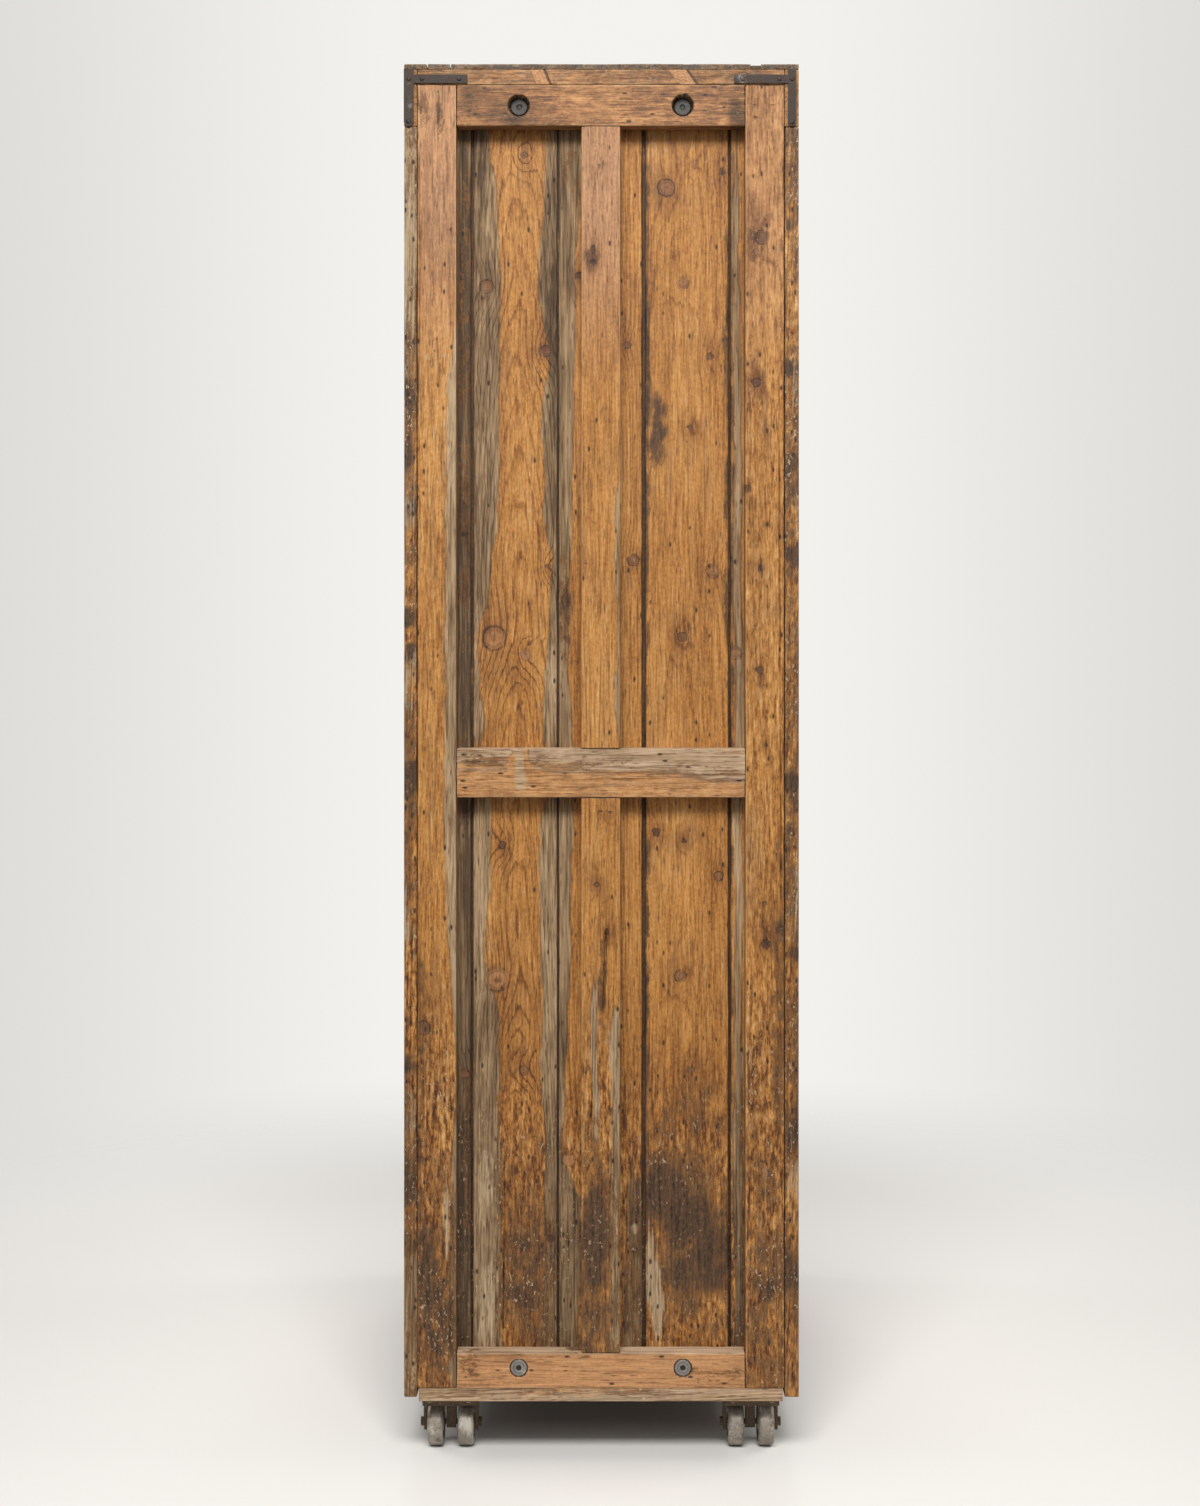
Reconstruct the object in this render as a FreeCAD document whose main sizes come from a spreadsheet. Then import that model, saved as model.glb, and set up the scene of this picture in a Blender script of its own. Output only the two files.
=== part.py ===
# Printers' type cabinet: a tall pine cabinet of sliding type cases on four twin-wheel casters.
# Millimetres, +Z up. X runs along the cabinet, Y from the front (-) to the back (+).
# The origin is on the floor under the middle of the cabinet.

import FreeCAD
import Part
import Sketcher
import os

CASE_COUNT = 20
DIVIDED_CASES = 6
BASE_BOARD_COUNT = 6
BACK_BOARD_COUNT = 7

DIMENSIONS = {
    # whole cabinet, casters included
    "cabinet_width": 915,
    "cabinet_depth": 566,
    "cabinet_height": 2000,
    "caster_height": 84,
    # thicknesses of the timber
    "base_thick": 19,
    "deck_thick": 22,
    "cap_thick": 8,
    "frame_thick": 32,
    "lining_thick": 18,
    "front_thick": 19,
    "back_thick": 21,
    # panelled end frames
    "stile_width": 56,
    "muntin_width": 56,
    "top_rail_height": 59,
    "mid_rail_height": 70,
    "mid_rail_low": 949,
    "bottom_rail_height": 50,
    "tenon_length": 34,
    "tenon_thick": 11,
    "tenon_shoulder": 8,
    "stub_length": 14,
    "lining_board": 124,
    "tongue_size": 6,
    "groove_depth": 4,
    # front frame and back
    "header_height": 82,
    "edge_low": 90,
    "post_width": 57.5,
    "sill_high": 151,
    # cap boards and deck splices
    "cap_gap": 1,
    "cap_strip_a": 33,
    "cap_strip_b": 32,
    "cap_wide": 430,
    "cap_split": 14,
    "base_inset": 2,
    "splice_length": 60,
    "front_splice_width": 20,
    "front_splice_lean": 9,
    "front_splice_place": -103,
    "back_splice_width": 27,
    "back_splice_lean": 16,
    "back_splice_place": 94,
    # tie rails, with the bolts that draw the ends up to them
    "tie_width": 44,
    "tie_height_top": 56,
    "bolt_spread": 235,
    "bolt_radius": 6,
    "bolt_length": 100,
    "bolt_head_radius": 12,
    "bolt_head_thick": 5,
    "bolt_dimple": 2,
    "bolt_hole_radius": 6.6,
    "top_bolt_drop": 29.5,
    "bottom_bolt_rise": 29,
    "top_sink_radius": 15,
    "top_sink_depth": 18,
    "bottom_sink_radius": 12.5,
    "bottom_sink_depth": 6,
    "tie_bore_depth": 72,
    "nut_side": 20,
    "nut_thick": 10,
    "nut_inset": 46,
    "nut_play": 0.5,
    # type cases and their runners
    "case_pitch": 87.5,
    "case_first": 169,
    "case_width": 796,
    "case_length": 501,
    "case_front_thick": 16,
    "case_front_height": 84.5,
    "case_front_drop": 14,
    "case_wall": 12,
    "case_wall_height": 60,
    "case_bottom_thick": 6,
    "case_bottom_rise": 5,
    "case_groove": 5,
    "case_housing": 8,
    "case_lift": 0.2,
    "divider_thick": 10,
    "runner_width": 30,
    "runner_height": 15,
    "runner_setback": 2,
    "stop_length": 17,
    "stop_height": 25,
    # knob and card frame on each case
    "knob_radius": 13,
    "knob_neck": 7,
    "knob_depth": 17,
    "knob_drop": 20,
    "card_width": 72,
    "card_height": 30,
    "card_border": 4,
    "card_thick": 2,
    "card_rise": 17,
    # iron corner straps
    "strap_thick": 2.5,
    "strap_arm_width": 12,
    "strap_arm_length": 77,
    "strap_rise": 2,
    "front_strap_width": 14,
    "back_strap_width": 11.5,
    "back_strap_inset": 4.5,
    "nail_head_radius": 3.5,
    "nail_head_high": 1.6,
    "nail_radius": 1.5,
    "nail_length": 24,
    # casters
    "caster_spread": 436,
    "kingpin_inset": 46,
    "caster_trail": 20,
    "wheel_radius": 33,
    "wheel_width": 23,
    "wheel_offset": 22,
    "wheel_hub_radius": 12,
    "wheel_rim_radius": 25,
    "wheel_dish": 4,
    "wheel_round": 4,
    "axle_radius": 4,
    "axle_play": 0.06,
    "axle_nut_radius": 6.4,
    "axle_nut_thick": 5,
    "fork_half_width": 39.5,
    "fork_leg_thick": 4.5,
    "fork_leg_half": 12,
    "fork_web_half": 7,
    "fork_web_eye": 9,
    "fork_web_inner": 9.5,
    "fork_arch": 8,
    "crown_low": 69,
    "crown_thick": 6,
    "crown_nose": 20,
    "kingpin_radius": 6,
    "kingpin_head_radius": 8.5,
    "kingpin_head_thick": 5,
    "swivel_gap": 0.3,
    "plate_side": 72,
    "plate_thick": 4,
    "race_radius": 26,
    "race_bore": 14,
    "screw_spread": 56,
    "screw_radius": 3,
    "screw_head_radius": 5,
    "screw_head_thick": 3,
    "screw_bite": 14,
    "screw_hole_radius": 3.5,
}

doc = FreeCAD.newDocument("type_cabinet")
sheet = doc.addObject("Spreadsheet::Sheet", "dims")
for row, (alias, value) in enumerate(DIMENSIONS.items(), start=1):
    sheet.set(f"A{row}", alias)
    sheet.set(f"B{row}", str(value))
    sheet.setAlias(f"B{row}", alias)
doc.recompute()

# Levels and faces of the carcass, as expressions on the driving dimensions
END_FACE = "(dims.cabinet_width / 2)"
LINING_FACE = f"({END_FACE} - dims.frame_thick)"
INNER_FACE = f"({LINING_FACE} - dims.lining_thick)"
FRONT_FACE = "(-dims.cabinet_depth / 2)"
BACK_FACE = "(dims.cabinet_depth / 2)"
FRAME_FRONT = f"({FRONT_FACE} + dims.front_thick)"
FRAME_BACK = f"({BACK_FACE} - dims.back_thick)"
FRAME_MIDDLE = f"(({FRAME_FRONT} + {FRAME_BACK}) / 2)"
STILE_FRONT_EDGE = f"({FRAME_FRONT} + dims.stile_width)"
STILE_BACK_EDGE = f"({FRAME_BACK} - dims.stile_width)"
BASE_LOW = "dims.caster_height"
FRAME_LOW = "(dims.caster_height + dims.base_thick)"
CAP_LOW = "(dims.cabinet_height - dims.cap_thick)"
FRAME_HIGH = f"({CAP_LOW} - dims.deck_thick)"
HEADER_LOW = f"({CAP_LOW} - dims.header_height)"
TOP_RAIL_LOW = f"({FRAME_HIGH} - dims.top_rail_height)"
MID_RAIL_LOW = "dims.mid_rail_low"
MID_RAIL_HIGH = "(dims.mid_rail_low + dims.mid_rail_height)"
BOTTOM_RAIL_HIGH = f"({FRAME_LOW} + dims.bottom_rail_height)"
BOLT_FRONT = f"({FRAME_MIDDLE} - dims.bolt_spread / 2)"
BOLT_BACK = f"({FRAME_MIDDLE} + dims.bolt_spread / 2)"
TOP_BOLT_Z = f"({FRAME_HIGH} - dims.top_bolt_drop)"
BOTTOM_BOLT_Z = f"({FRAME_LOW} + dims.bottom_bolt_rise)"

ALONG = {
    "x": FreeCAD.Rotation(FreeCAD.Vector(0, 1, 0), 90),
    "-x": FreeCAD.Rotation(FreeCAD.Vector(0, 1, 0), -90),
    "y": FreeCAD.Rotation(FreeCAD.Vector(1, 0, 0), -90),
    "-y": FreeCAD.Rotation(FreeCAD.Vector(1, 0, 0), 90),
    "z": FreeCAD.Rotation(),
}
QUARTER_TILT = FreeCAD.Rotation(FreeCAD.Vector(0, 0, 1), 45)
WEDGE_UPRIGHT = FreeCAD.Rotation(FreeCAD.Vector(1, 1, 1), 120)
ENDS = {"right": 1, "left": -1}


def outward(end, near, far):
    """The (low, high) pair along X of something between two distances from the middle."""
    if ENDS[end] > 0:
        return near, far
    return f"-({far})", f"-({near})"


def stand(made, at, rotation=None):
    """Puts an object at three expressions, turned by a fixed rotation."""
    made.Placement = FreeCAD.Placement(FreeCAD.Vector(), rotation or FreeCAD.Rotation())
    for axis, place in zip("xyz", at):
        made.setExpression(f"Placement.Base.{axis}", place)
    return made


def box(label, x, y, z):
    """A square timber, board or plate between three (low, high) pairs."""
    made = doc.addObject("Part::Box", "Box")
    made.Label = label
    for size, (low, high) in zip(("Length", "Width", "Height"), (x, y, z)):
        made.setExpression(size, f"({high}) - ({low})")
    return stand(made, (x[0], y[0], z[0]))


def rod(label, radius, length, at, along):
    """A round bar or bore from a starting point along one axis."""
    made = doc.addObject("Part::Cylinder", "Cylinder")
    made.Label = label
    made.setExpression("Radius", radius)
    made.setExpression("Height", length)
    return stand(made, at, ALONG[along])


def hexagon(label, radius, thick, at, along):
    """A six-sided nut or bolt head from a starting point along one axis."""
    made = doc.addObject("Part::Prism", "Prism")
    made.Label = label
    made.Polygon = 6
    made.setExpression("Circumradius", radius)
    made.setExpression("Height", thick)
    return stand(made, at, ALONG[along])


def fuse(label, pieces):
    made = doc.addObject("Part::MultiFuse", "Fuse")
    made.Label = label
    made.Shapes = pieces
    made.Refine = True
    return made


def cut(label, base, tools):
    made = doc.addObject("Part::Cut", "Cut")
    made.Label = label
    made.Base = base
    made.Tool = tools[0] if len(tools) == 1 else fuse(f"{label} waste", tools)
    made.Refine = True
    return made


def group(label, pieces, at=("0", "0", "0"), rotation=None):
    """Separate pieces under one label, set down together."""
    made = doc.addObject("Part::Compound", "Group")
    made.Label = label
    made.Links = pieces
    return stand(made, at, rotation)


def turned(label, profile):
    """A turned piece about its own Z axis; profile holds (radius, height) pairs of the half section."""
    body = doc.addObject("PartDesign::Body", "Body")
    body.Label = label
    sketch = body.newObject("Sketcher::SketchObject", "Profile")
    plane = next(item for item in body.Origin.OriginFeatures if item.Role == "XZ_Plane")
    sketch.AttachmentSupport = [(plane, "")]
    sketch.MapMode = "FlatFace"
    corners = []
    for radius, height in profile:
        corner_x = float(sheet.evalExpression(radius))
        corner_y = float(sheet.evalExpression(height))
        corners.append(FreeCAD.Vector(corner_x, corner_y, 0))
    for index, corner in enumerate(corners):
        following = corners[(index + 1) % len(corners)]
        sketch.addGeometry(Part.LineSegment(corner, following))
    for index, (radius, height) in enumerate(profile):
        sketch.addConstraint(Sketcher.Constraint("Coincident", index, 2, (index + 1) % len(profile), 1))
        pin_to_axis(sketch, index, "DistanceX", radius, corners[index].x, -2)
        pin_to_axis(sketch, index, "DistanceY", height, corners[index].y, -1)
    turning = body.newObject("PartDesign::Revolution", "Turning")
    turning.Profile = sketch
    turning.ReferenceAxis = (sketch, ["V_Axis"])
    turning.Angle = 360
    doc.recompute()
    return body


def pin_to_axis(sketch, index, kind, expression, value, axis):
    """Fixes one coordinate of a profile corner, on the sketch axis itself where it is zero."""
    if expression == "0":
        sketch.addConstraint(Sketcher.Constraint("PointOnObject", index, 1, axis))
        return
    place = sketch.addConstraint(Sketcher.Constraint(kind, -1, 1, index, 1, value))
    sketch.setExpression(f"Constraints[{place}]", expression)


def matchboards(label, edges, through, face, z, lay, drilled=None):
    """Tongued and grooved boards side by side with a V at each joint on the outer face.

    edges are the board edges along the wall, through the (low, high) pair of the thickness and lay
    turns (along the wall, through it) into (x, y).
    """
    middle = f"(({through[0]}) + ({through[1]})) / 2"
    tongue_through = (f"{middle} - dims.tongue_size / 2", f"{middle} + dims.tongue_size / 2")
    tongues = []
    vees = []
    for number, joint in enumerate(edges[1:-1], start=1):
        tongue_x, tongue_y = lay((joint, f"({joint}) + dims.tongue_size"), tongue_through)
        tongues.append(box(f"{label} tongue {number}", tongue_x, tongue_y, z))
        vee = doc.addObject("Part::Box", "Vee")
        vee.Label = f"{label} vee {number}"
        vee.setExpression("Length", "dims.groove_depth * sqrt(2)")
        vee.setExpression("Width", "dims.groove_depth * sqrt(2)")
        vee.setExpression("Height", f"({z[1]}) - ({z[0]})")
        vee_x, vee_y = lay(joint, face)
        vees.append(stand(vee, (vee_x, f"({vee_y}) - dims.groove_depth", z[0]), QUARTER_TILT))
    boards = []
    for number in range(len(edges) - 1):
        board_x, board_y = lay((edges[number], edges[number + 1]), through)
        board = box(f"{label} plank {number + 1}", board_x, board_y, z)
        waste = list((drilled or {}).get(number, []))
        if number < len(tongues):
            board = fuse(f"{label} tongued plank {number + 1}", [board, tongues[number]])
            waste.append(vees[number])
        if number > 0:
            waste += [tongues[number - 1], vees[number - 1]]
        boards.append(cut(f"{label} board {number + 1}", board, waste))
    return boards


nodes = []


def node(made, label):
    """Marks an object as one finished sub-part, under the name of its file."""
    made.Label = label
    nodes.append(made)
    return made


def bolt_holes(end, level, radius, near, far):
    """Two bores through an end at one bolt level."""
    low, high = outward(end, near, far)
    length = f"({high}) - ({low})"
    return [rod(f"{end} bore", radius, length, (low, y, level), "x") for y in (BOLT_FRONT, BOLT_BACK)]


def end_frame(end):
    """One panelled end: stiles, rails and muntins mortised together over matchboards."""
    frame_x = outward(end, LINING_FACE, END_FACE)
    tenon_near = f"({LINING_FACE} + (dims.frame_thick - dims.tenon_thick) / 2)"
    tenon_x = outward(end, tenon_near, f"({tenon_near} + dims.tenon_thick)")
    full_height = (FRAME_LOW, FRAME_HIGH)
    rails = {
        "top_rail": (TOP_RAIL_LOW, FRAME_HIGH),
        "mid_rail": (MID_RAIL_LOW, MID_RAIL_HIGH),
        "bottom_rail": (FRAME_LOW, BOTTOM_RAIL_HIGH),
    }
    front_tenons = {}
    back_tenons = {}
    for name, (low, high) in rails.items():
        tenon_z = (f"{low} + dims.tenon_shoulder", f"{high} - dims.tenon_shoulder")
        front_y = (f"{STILE_FRONT_EDGE} - dims.tenon_length", STILE_FRONT_EDGE)
        back_y = (STILE_BACK_EDGE, f"{STILE_BACK_EDGE} + dims.tenon_length")
        front_tenons[name] = box(f"{end} {name} front tenon", tenon_x, front_y, tenon_z)
        back_tenons[name] = box(f"{end} {name} back tenon", tenon_x, back_y, tenon_z)

    front_stile = box(f"{end} front stile", frame_x, (FRAME_FRONT, STILE_FRONT_EDGE), full_height)
    back_stile = box(f"{end} back stile", frame_x, (STILE_BACK_EDGE, FRAME_BACK), full_height)
    node(cut("mortised stile", front_stile, list(front_tenons.values())), f"{end}_end_front_stile")
    node(cut("mortised stile", back_stile, list(back_tenons.values())), f"{end}_end_back_stile")

    muntin_y = (f"{FRAME_MIDDLE} - dims.muntin_width / 2", f"{FRAME_MIDDLE} + dims.muntin_width / 2")
    stub_y = (f"{muntin_y[0]} + dims.tenon_shoulder", f"{muntin_y[1]} - dims.tenon_shoulder")
    stubs = {
        "upper top": (TOP_RAIL_LOW, f"{TOP_RAIL_LOW} + dims.stub_length"),
        "upper foot": (f"{MID_RAIL_HIGH} - dims.stub_length", MID_RAIL_HIGH),
        "lower top": (MID_RAIL_LOW, f"{MID_RAIL_LOW} + dims.stub_length"),
        "lower foot": (f"{BOTTOM_RAIL_HIGH} - dims.stub_length", BOTTOM_RAIL_HIGH),
    }
    stubs = {name: box(f"{end} muntin {name}", tenon_x, stub_y, z) for name, z in stubs.items()}
    upper = box(f"{end} upper muntin bar", frame_x, muntin_y, (MID_RAIL_HIGH, TOP_RAIL_LOW))
    lower = box(f"{end} lower muntin bar", frame_x, muntin_y, (BOTTOM_RAIL_HIGH, MID_RAIL_LOW))
    upper = fuse(f"{end} upper muntin", [upper, stubs["upper top"], stubs["upper foot"]])
    lower = fuse(f"{end} lower muntin", [lower, stubs["lower top"], stubs["lower foot"]])
    node(group("muntins", [upper, lower]), f"{end}_end_muntins")

    top_sink = f"({END_FACE} - dims.top_sink_depth)"
    bottom_sink = f"({END_FACE} - dims.bottom_sink_depth)"
    waste = {
        "top_rail": [stubs["upper top"]]
        + bolt_holes(end, TOP_BOLT_Z, "dims.bolt_hole_radius", LINING_FACE, END_FACE)
        + bolt_holes(end, TOP_BOLT_Z, "dims.top_sink_radius", top_sink, END_FACE),
        "mid_rail": [stubs["upper foot"], stubs["lower top"]],
        "bottom_rail": [stubs["lower foot"]]
        + bolt_holes(end, BOTTOM_BOLT_Z, "dims.bolt_hole_radius", LINING_FACE, END_FACE)
        + bolt_holes(end, BOTTOM_BOLT_Z, "dims.bottom_sink_radius", bottom_sink, END_FACE),
    }
    for name, z in rails.items():
        bar = box(f"{end} {name} bar", frame_x, (STILE_FRONT_EDGE, STILE_BACK_EDGE), z)
        tenoned = fuse(f"{end} {name} tenoned", [bar, front_tenons[name], back_tenons[name]])
        node(cut("rail", tenoned, waste[name]), f"{end}_end_{name}")

    edges = [FRAME_FRONT]
    edges += [f"{FRAME_MIDDLE} + ({step}) * dims.lining_board" for step in (-1.5, -0.5, 0.5, 1.5)]
    edges += [FRAME_BACK]
    through = outward(end, INNER_FACE, LINING_FACE)
    bores = bolt_holes(end, TOP_BOLT_Z, "dims.bolt_hole_radius", INNER_FACE, LINING_FACE)
    bores += bolt_holes(end, BOTTOM_BOLT_Z, "dims.bolt_hole_radius", INNER_FACE, LINING_FACE)
    drilled = {1: [bores[0], bores[2]], 3: [bores[1], bores[3]]}
    face = through[1] if ENDS[end] > 0 else through[0]
    boards = matchboards(f"{end} lining", edges, through, face, full_height, lambda a, t: (t, a), drilled)
    node(group("lining", boards), f"{end}_end_boards")


for end_name in ENDS:
    end_frame(end_name)


NUT_REACH = "(dims.nut_side / 2 + dims.nut_play)"
HALF_NUT = "dims.nut_side / 2"
NUT_NEAR = f"{INNER_FACE} - dims.nut_inset"
NUT_FAR = f"{NUT_NEAR} + dims.nut_thick"


def tie_rail(label, y, z, bolt_z, pocket_z):
    """A rail between the two ends with a bolt bore and a nut pocket at each end of it."""
    half = "dims.tie_width / 2"
    pocket_y = (f"{y} - {NUT_REACH}", f"{y} + {NUT_REACH}")
    bar = box(f"{label} bar", (f"-{INNER_FACE}", INNER_FACE), (f"{y} - {half}", f"{y} + {half}"), z)
    waste = []
    for end in ENDS:
        low, high = outward(end, f"{INNER_FACE} - dims.tie_bore_depth", INNER_FACE)
        start = (low, y, bolt_z)
        waste.append(rod(f"{label} {end} bore", "dims.bolt_hole_radius", "dims.tie_bore_depth", start, "x"))
        pocket_x = outward(end, f"{NUT_NEAR} - dims.nut_play", f"{NUT_FAR} + dims.nut_play")
        waste.append(box(f"{label} {end} pocket", pocket_x, pocket_y, pocket_z))
    return cut(label, bar, waste)


TOP_TIE_LOW = f"({FRAME_HIGH} - dims.tie_height_top)"
tie_rails = []
for place, y in (("front", BOLT_FRONT), ("back", BOLT_BACK)):
    top_span = (TOP_TIE_LOW, FRAME_HIGH)
    bottom_span = (FRAME_LOW, BOTTOM_RAIL_HIGH)
    top_pocket = (TOP_TIE_LOW, f"{TOP_BOLT_Z} + {NUT_REACH}")
    bottom_pocket = (f"{BOTTOM_BOLT_Z} - {NUT_REACH}", BOTTOM_RAIL_HIGH)
    tie_rails.append(tie_rail(f"top {place} tie", y, top_span, TOP_BOLT_Z, top_pocket))
    tie_rails.append(tie_rail(f"bottom {place} tie", y, bottom_span, BOTTOM_BOLT_Z, bottom_pocket))
node(group("ties", tie_rails), "tie_rails")

# Bolts with a dimpled round head, each with a square nut let into the tie rail
BOLT_TOP = "dims.bolt_length + dims.bolt_head_thick"
bolt = turned(
    "tie bolt pattern",
    [
        ("0", "0"),
        ("dims.bolt_radius", "0"),
        ("dims.bolt_radius", "dims.bolt_length"),
        ("dims.bolt_head_radius", "dims.bolt_length"),
        ("dims.bolt_head_radius", f"{BOLT_TOP} - dims.bolt_dimple / 2"),
        ("dims.bolt_head_radius - dims.bolt_dimple / 2", BOLT_TOP),
        ("dims.bolt_radius * 0.7", BOLT_TOP),
        ("dims.bolt_radius * 0.5", f"{BOLT_TOP} - dims.bolt_dimple"),
        ("0", f"{BOLT_TOP} - dims.bolt_dimple"),
    ],
)
bolts = []
for end_name, facing in ENDS.items():
    pointing = ALONG["x" if facing > 0 else "-x"]
    nut_x = outward(end_name, NUT_NEAR, NUT_FAR)
    for level, sink in ((TOP_BOLT_Z, "dims.top_sink_depth"), (BOTTOM_BOLT_Z, "dims.bottom_sink_depth")):
        nut_z = (f"{level} - {HALF_NUT}", f"{level} + {HALF_NUT}")
        for y in (BOLT_FRONT, BOLT_BACK):
            tip = f"{facing} * ({END_FACE} - {sink} - dims.bolt_length)"
            bolts.append(group(f"{end_name} bolt", [bolt], (tip, y, level), pointing))
            blank = box("nut blank", nut_x, (f"{y} - {HALF_NUT}", f"{y} + {HALF_NUT}"), nut_z)
            start = (nut_x[0], y, level)
            bore = rod("nut bore", "dims.bolt_radius + dims.nut_play", "dims.nut_thick", start, "x")
            bolts.append(cut(f"{end_name} nut", blank, [bore]))
node(group("bolts", bolts), "tie_bolts")

# Front frame: two upright posts, a header over them and a sill between them
POST_INNER = f"({END_FACE} - dims.post_width)"
front_y = (FRONT_FACE, FRAME_FRONT)
edge_z = ("dims.edge_low", HEADER_LOW)
posts = [box(f"{end} front post", outward(end, POST_INNER, END_FACE), front_y, edge_z) for end in ENDS]
node(group("posts", posts), "front_posts")
header = box("front header", (f"-{END_FACE}", END_FACE), front_y, (HEADER_LOW, CAP_LOW))
sill = box("front sill", (f"-{POST_INNER}", POST_INNER), front_y, ("dims.edge_low", "dims.sill_high"))
node(group("front rails", [header, sill]), "front_rails")

# Back: upright matchboards under a header
back_y = (FRAME_BACK, BACK_FACE)
BACK_BOARD = f"dims.cabinet_width / {BACK_BOARD_COUNT}"
back_edges = [f"-{END_FACE} + {step} * {BACK_BOARD}" for step in range(BACK_BOARD_COUNT + 1)]
back = matchboards("back", back_edges, back_y, BACK_FACE, edge_z, lambda a, t: (a, t))
node(group("back", back), "back_boards")
node(box("header", (f"-{END_FACE}", END_FACE), back_y, (HEADER_LOW, CAP_LOW)), "back_header")


def cross_boards(label, half_length, y, z):
    """Boards laid front to back, side by side along the cabinet."""
    width = f"2 * {half_length} / {BASE_BOARD_COUNT}"
    edges = [f"-{half_length} + {step} * {width}" for step in range(BASE_BOARD_COUNT + 1)]
    spans = zip(edges[:-1], edges[1:])
    return [box(f"{label} {number}", span, y, z) for number, span in enumerate(spans, start=1)]


base_y = (f"{FRAME_FRONT} + dims.base_inset", f"{FRAME_BACK} - dims.base_inset")
base = cross_boards("base board", END_FACE, base_y, (BASE_LOW, FRAME_LOW))
node(group("base", base), "base_boards")


def splice(end, place):
    """A leaning block let into the outer edge of the end deck board."""
    width = f"dims.{place}_splice_width"
    lean = f"dims.{place}_splice_lean"
    made = doc.addObject("Part::Wedge", "Splice")
    made.Label = f"{end} {place} splice"
    sizes = {
        "Xmin": lean,
        "Xmax": f"{lean} + {width}",
        "X2min": "0",
        "X2max": width,
        "Ymin": "0",
        "Ymax": "dims.deck_thick",
        "Zmin": "0",
        "Zmax": "dims.splice_length",
        "Z2min": "0",
        "Z2max": "dims.splice_length",
    }
    made.Xmax = made.Ymax = made.Zmax = made.X2max = made.Z2max = 100
    for name, expression in sizes.items():
        made.setExpression(name, expression)
    start = outward(end, f"{END_FACE} - dims.splice_length", END_FACE)[0]
    return stand(made, (start, f"dims.{place}_splice_place", FRAME_HIGH), WEDGE_UPRIGHT)


# Deck boards laid front to back, with two splice blocks in the board at each end
deck = cross_boards("deck board", END_FACE, (FRAME_FRONT, FRAME_BACK), (FRAME_HIGH, CAP_LOW))
splices = {end: [splice(end, place) for place in ("front", "back")] for end in ENDS}
deck[0] = cut("left deck board", deck[0], splices["left"])
deck[-1] = cut("right deck board", deck[-1], splices["right"])
node(group("deck", deck + splices["left"] + splices["right"]), "top_deck_boards")

# Thin cap boards laid along the cabinet over the deck, with a split near the back
cap_starts = [FRONT_FACE]
cap_ends = []
for width in ("dims.cap_strip_a", "dims.cap_strip_b", "dims.cap_wide"):
    cap_ends.append(f"({cap_starts[-1]} + {width})")
    cap_starts.append(f"({cap_ends[-1]} + dims.cap_gap)")
cap_starts[-1] = f"({cap_ends[-1]} + dims.cap_split)"
cap_ends.append(BACK_FACE)
caps = [
    box(f"cap board {number + 1}", (f"-{END_FACE}", END_FACE), span, (CAP_LOW, "dims.cabinet_height"))
    for number, span in enumerate(zip(cap_starts, cap_ends))
]
node(group("cap", caps), "top_cap_boards")

# Iron straps round the upper corners of the two ends
nail = turned(
    "nail pattern",
    [
        ("0", "0"),
        ("dims.nail_radius", "dims.nail_radius * 2"),
        ("dims.nail_radius", "dims.nail_length"),
        ("dims.nail_head_radius", "dims.nail_length"),
        ("dims.nail_head_radius * 0.75", "dims.nail_length + dims.nail_head_high * 0.7"),
        ("0", "dims.nail_length + dims.nail_head_high"),
    ],
)
STRAP_LOW = f"({FRAME_HIGH} + dims.strap_rise)"
STRAP_MIDDLE = f"({STRAP_LOW} + dims.strap_arm_width / 2)"
straps = []
nails = []
for end_name, facing in ENDS.items():
    strap_x = outward(end_name, END_FACE, f"{END_FACE} + dims.strap_thick")
    strap_z = (STRAP_LOW, f"{STRAP_LOW} + dims.strap_arm_width")
    back_strap = f"({BACK_FACE} - dims.back_strap_inset)"
    uprights = {
        "front": (FRONT_FACE, f"({FRONT_FACE} + dims.front_strap_width)"),
        "back": (f"({back_strap} - dims.back_strap_width)", back_strap),
    }
    arms = {
        "front": (uprights["front"][1], f"{uprights['front'][1]} + dims.strap_arm_length"),
        "back": (f"{uprights['back'][0]} - dims.strap_arm_length", uprights["back"][0]),
    }
    for place in ("front", "back"):
        low, high = uprights[place]
        round_radius = f"(({high}) - ({low})) / 2"
        middle = f"(({high}) + ({low})) / 2"
        foot = f"({HEADER_LOW} + {round_radius})"
        upright = box("strap upright", strap_x, (low, high), (foot, CAP_LOW))
        toe = rod("strap toe", round_radius, "dims.strap_thick", (strap_x[0], middle, foot), "x")
        arm = box("strap arm", strap_x, arms[place], strap_z)
        straps.append(fuse(f"{end_name} {place} strap", [upright, toe, arm]))
        arm_low, arm_high = arms[place]
        for y, z in (
            (middle, foot),
            (middle, STRAP_MIDDLE),
            (f"{arm_low} + dims.strap_arm_width", STRAP_MIDDLE),
            (f"{arm_high} - dims.strap_arm_width", STRAP_MIDDLE),
        ):
            tip = f"{facing} * ({END_FACE} + dims.strap_thick - dims.nail_length)"
            nails.append(group("nail", [nail], (tip, y, z), ALONG["x" if facing > 0 else "-x"]))
node(group("straps", straps), "corner_straps")
node(group("nails", nails), "strap_nails")

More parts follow.
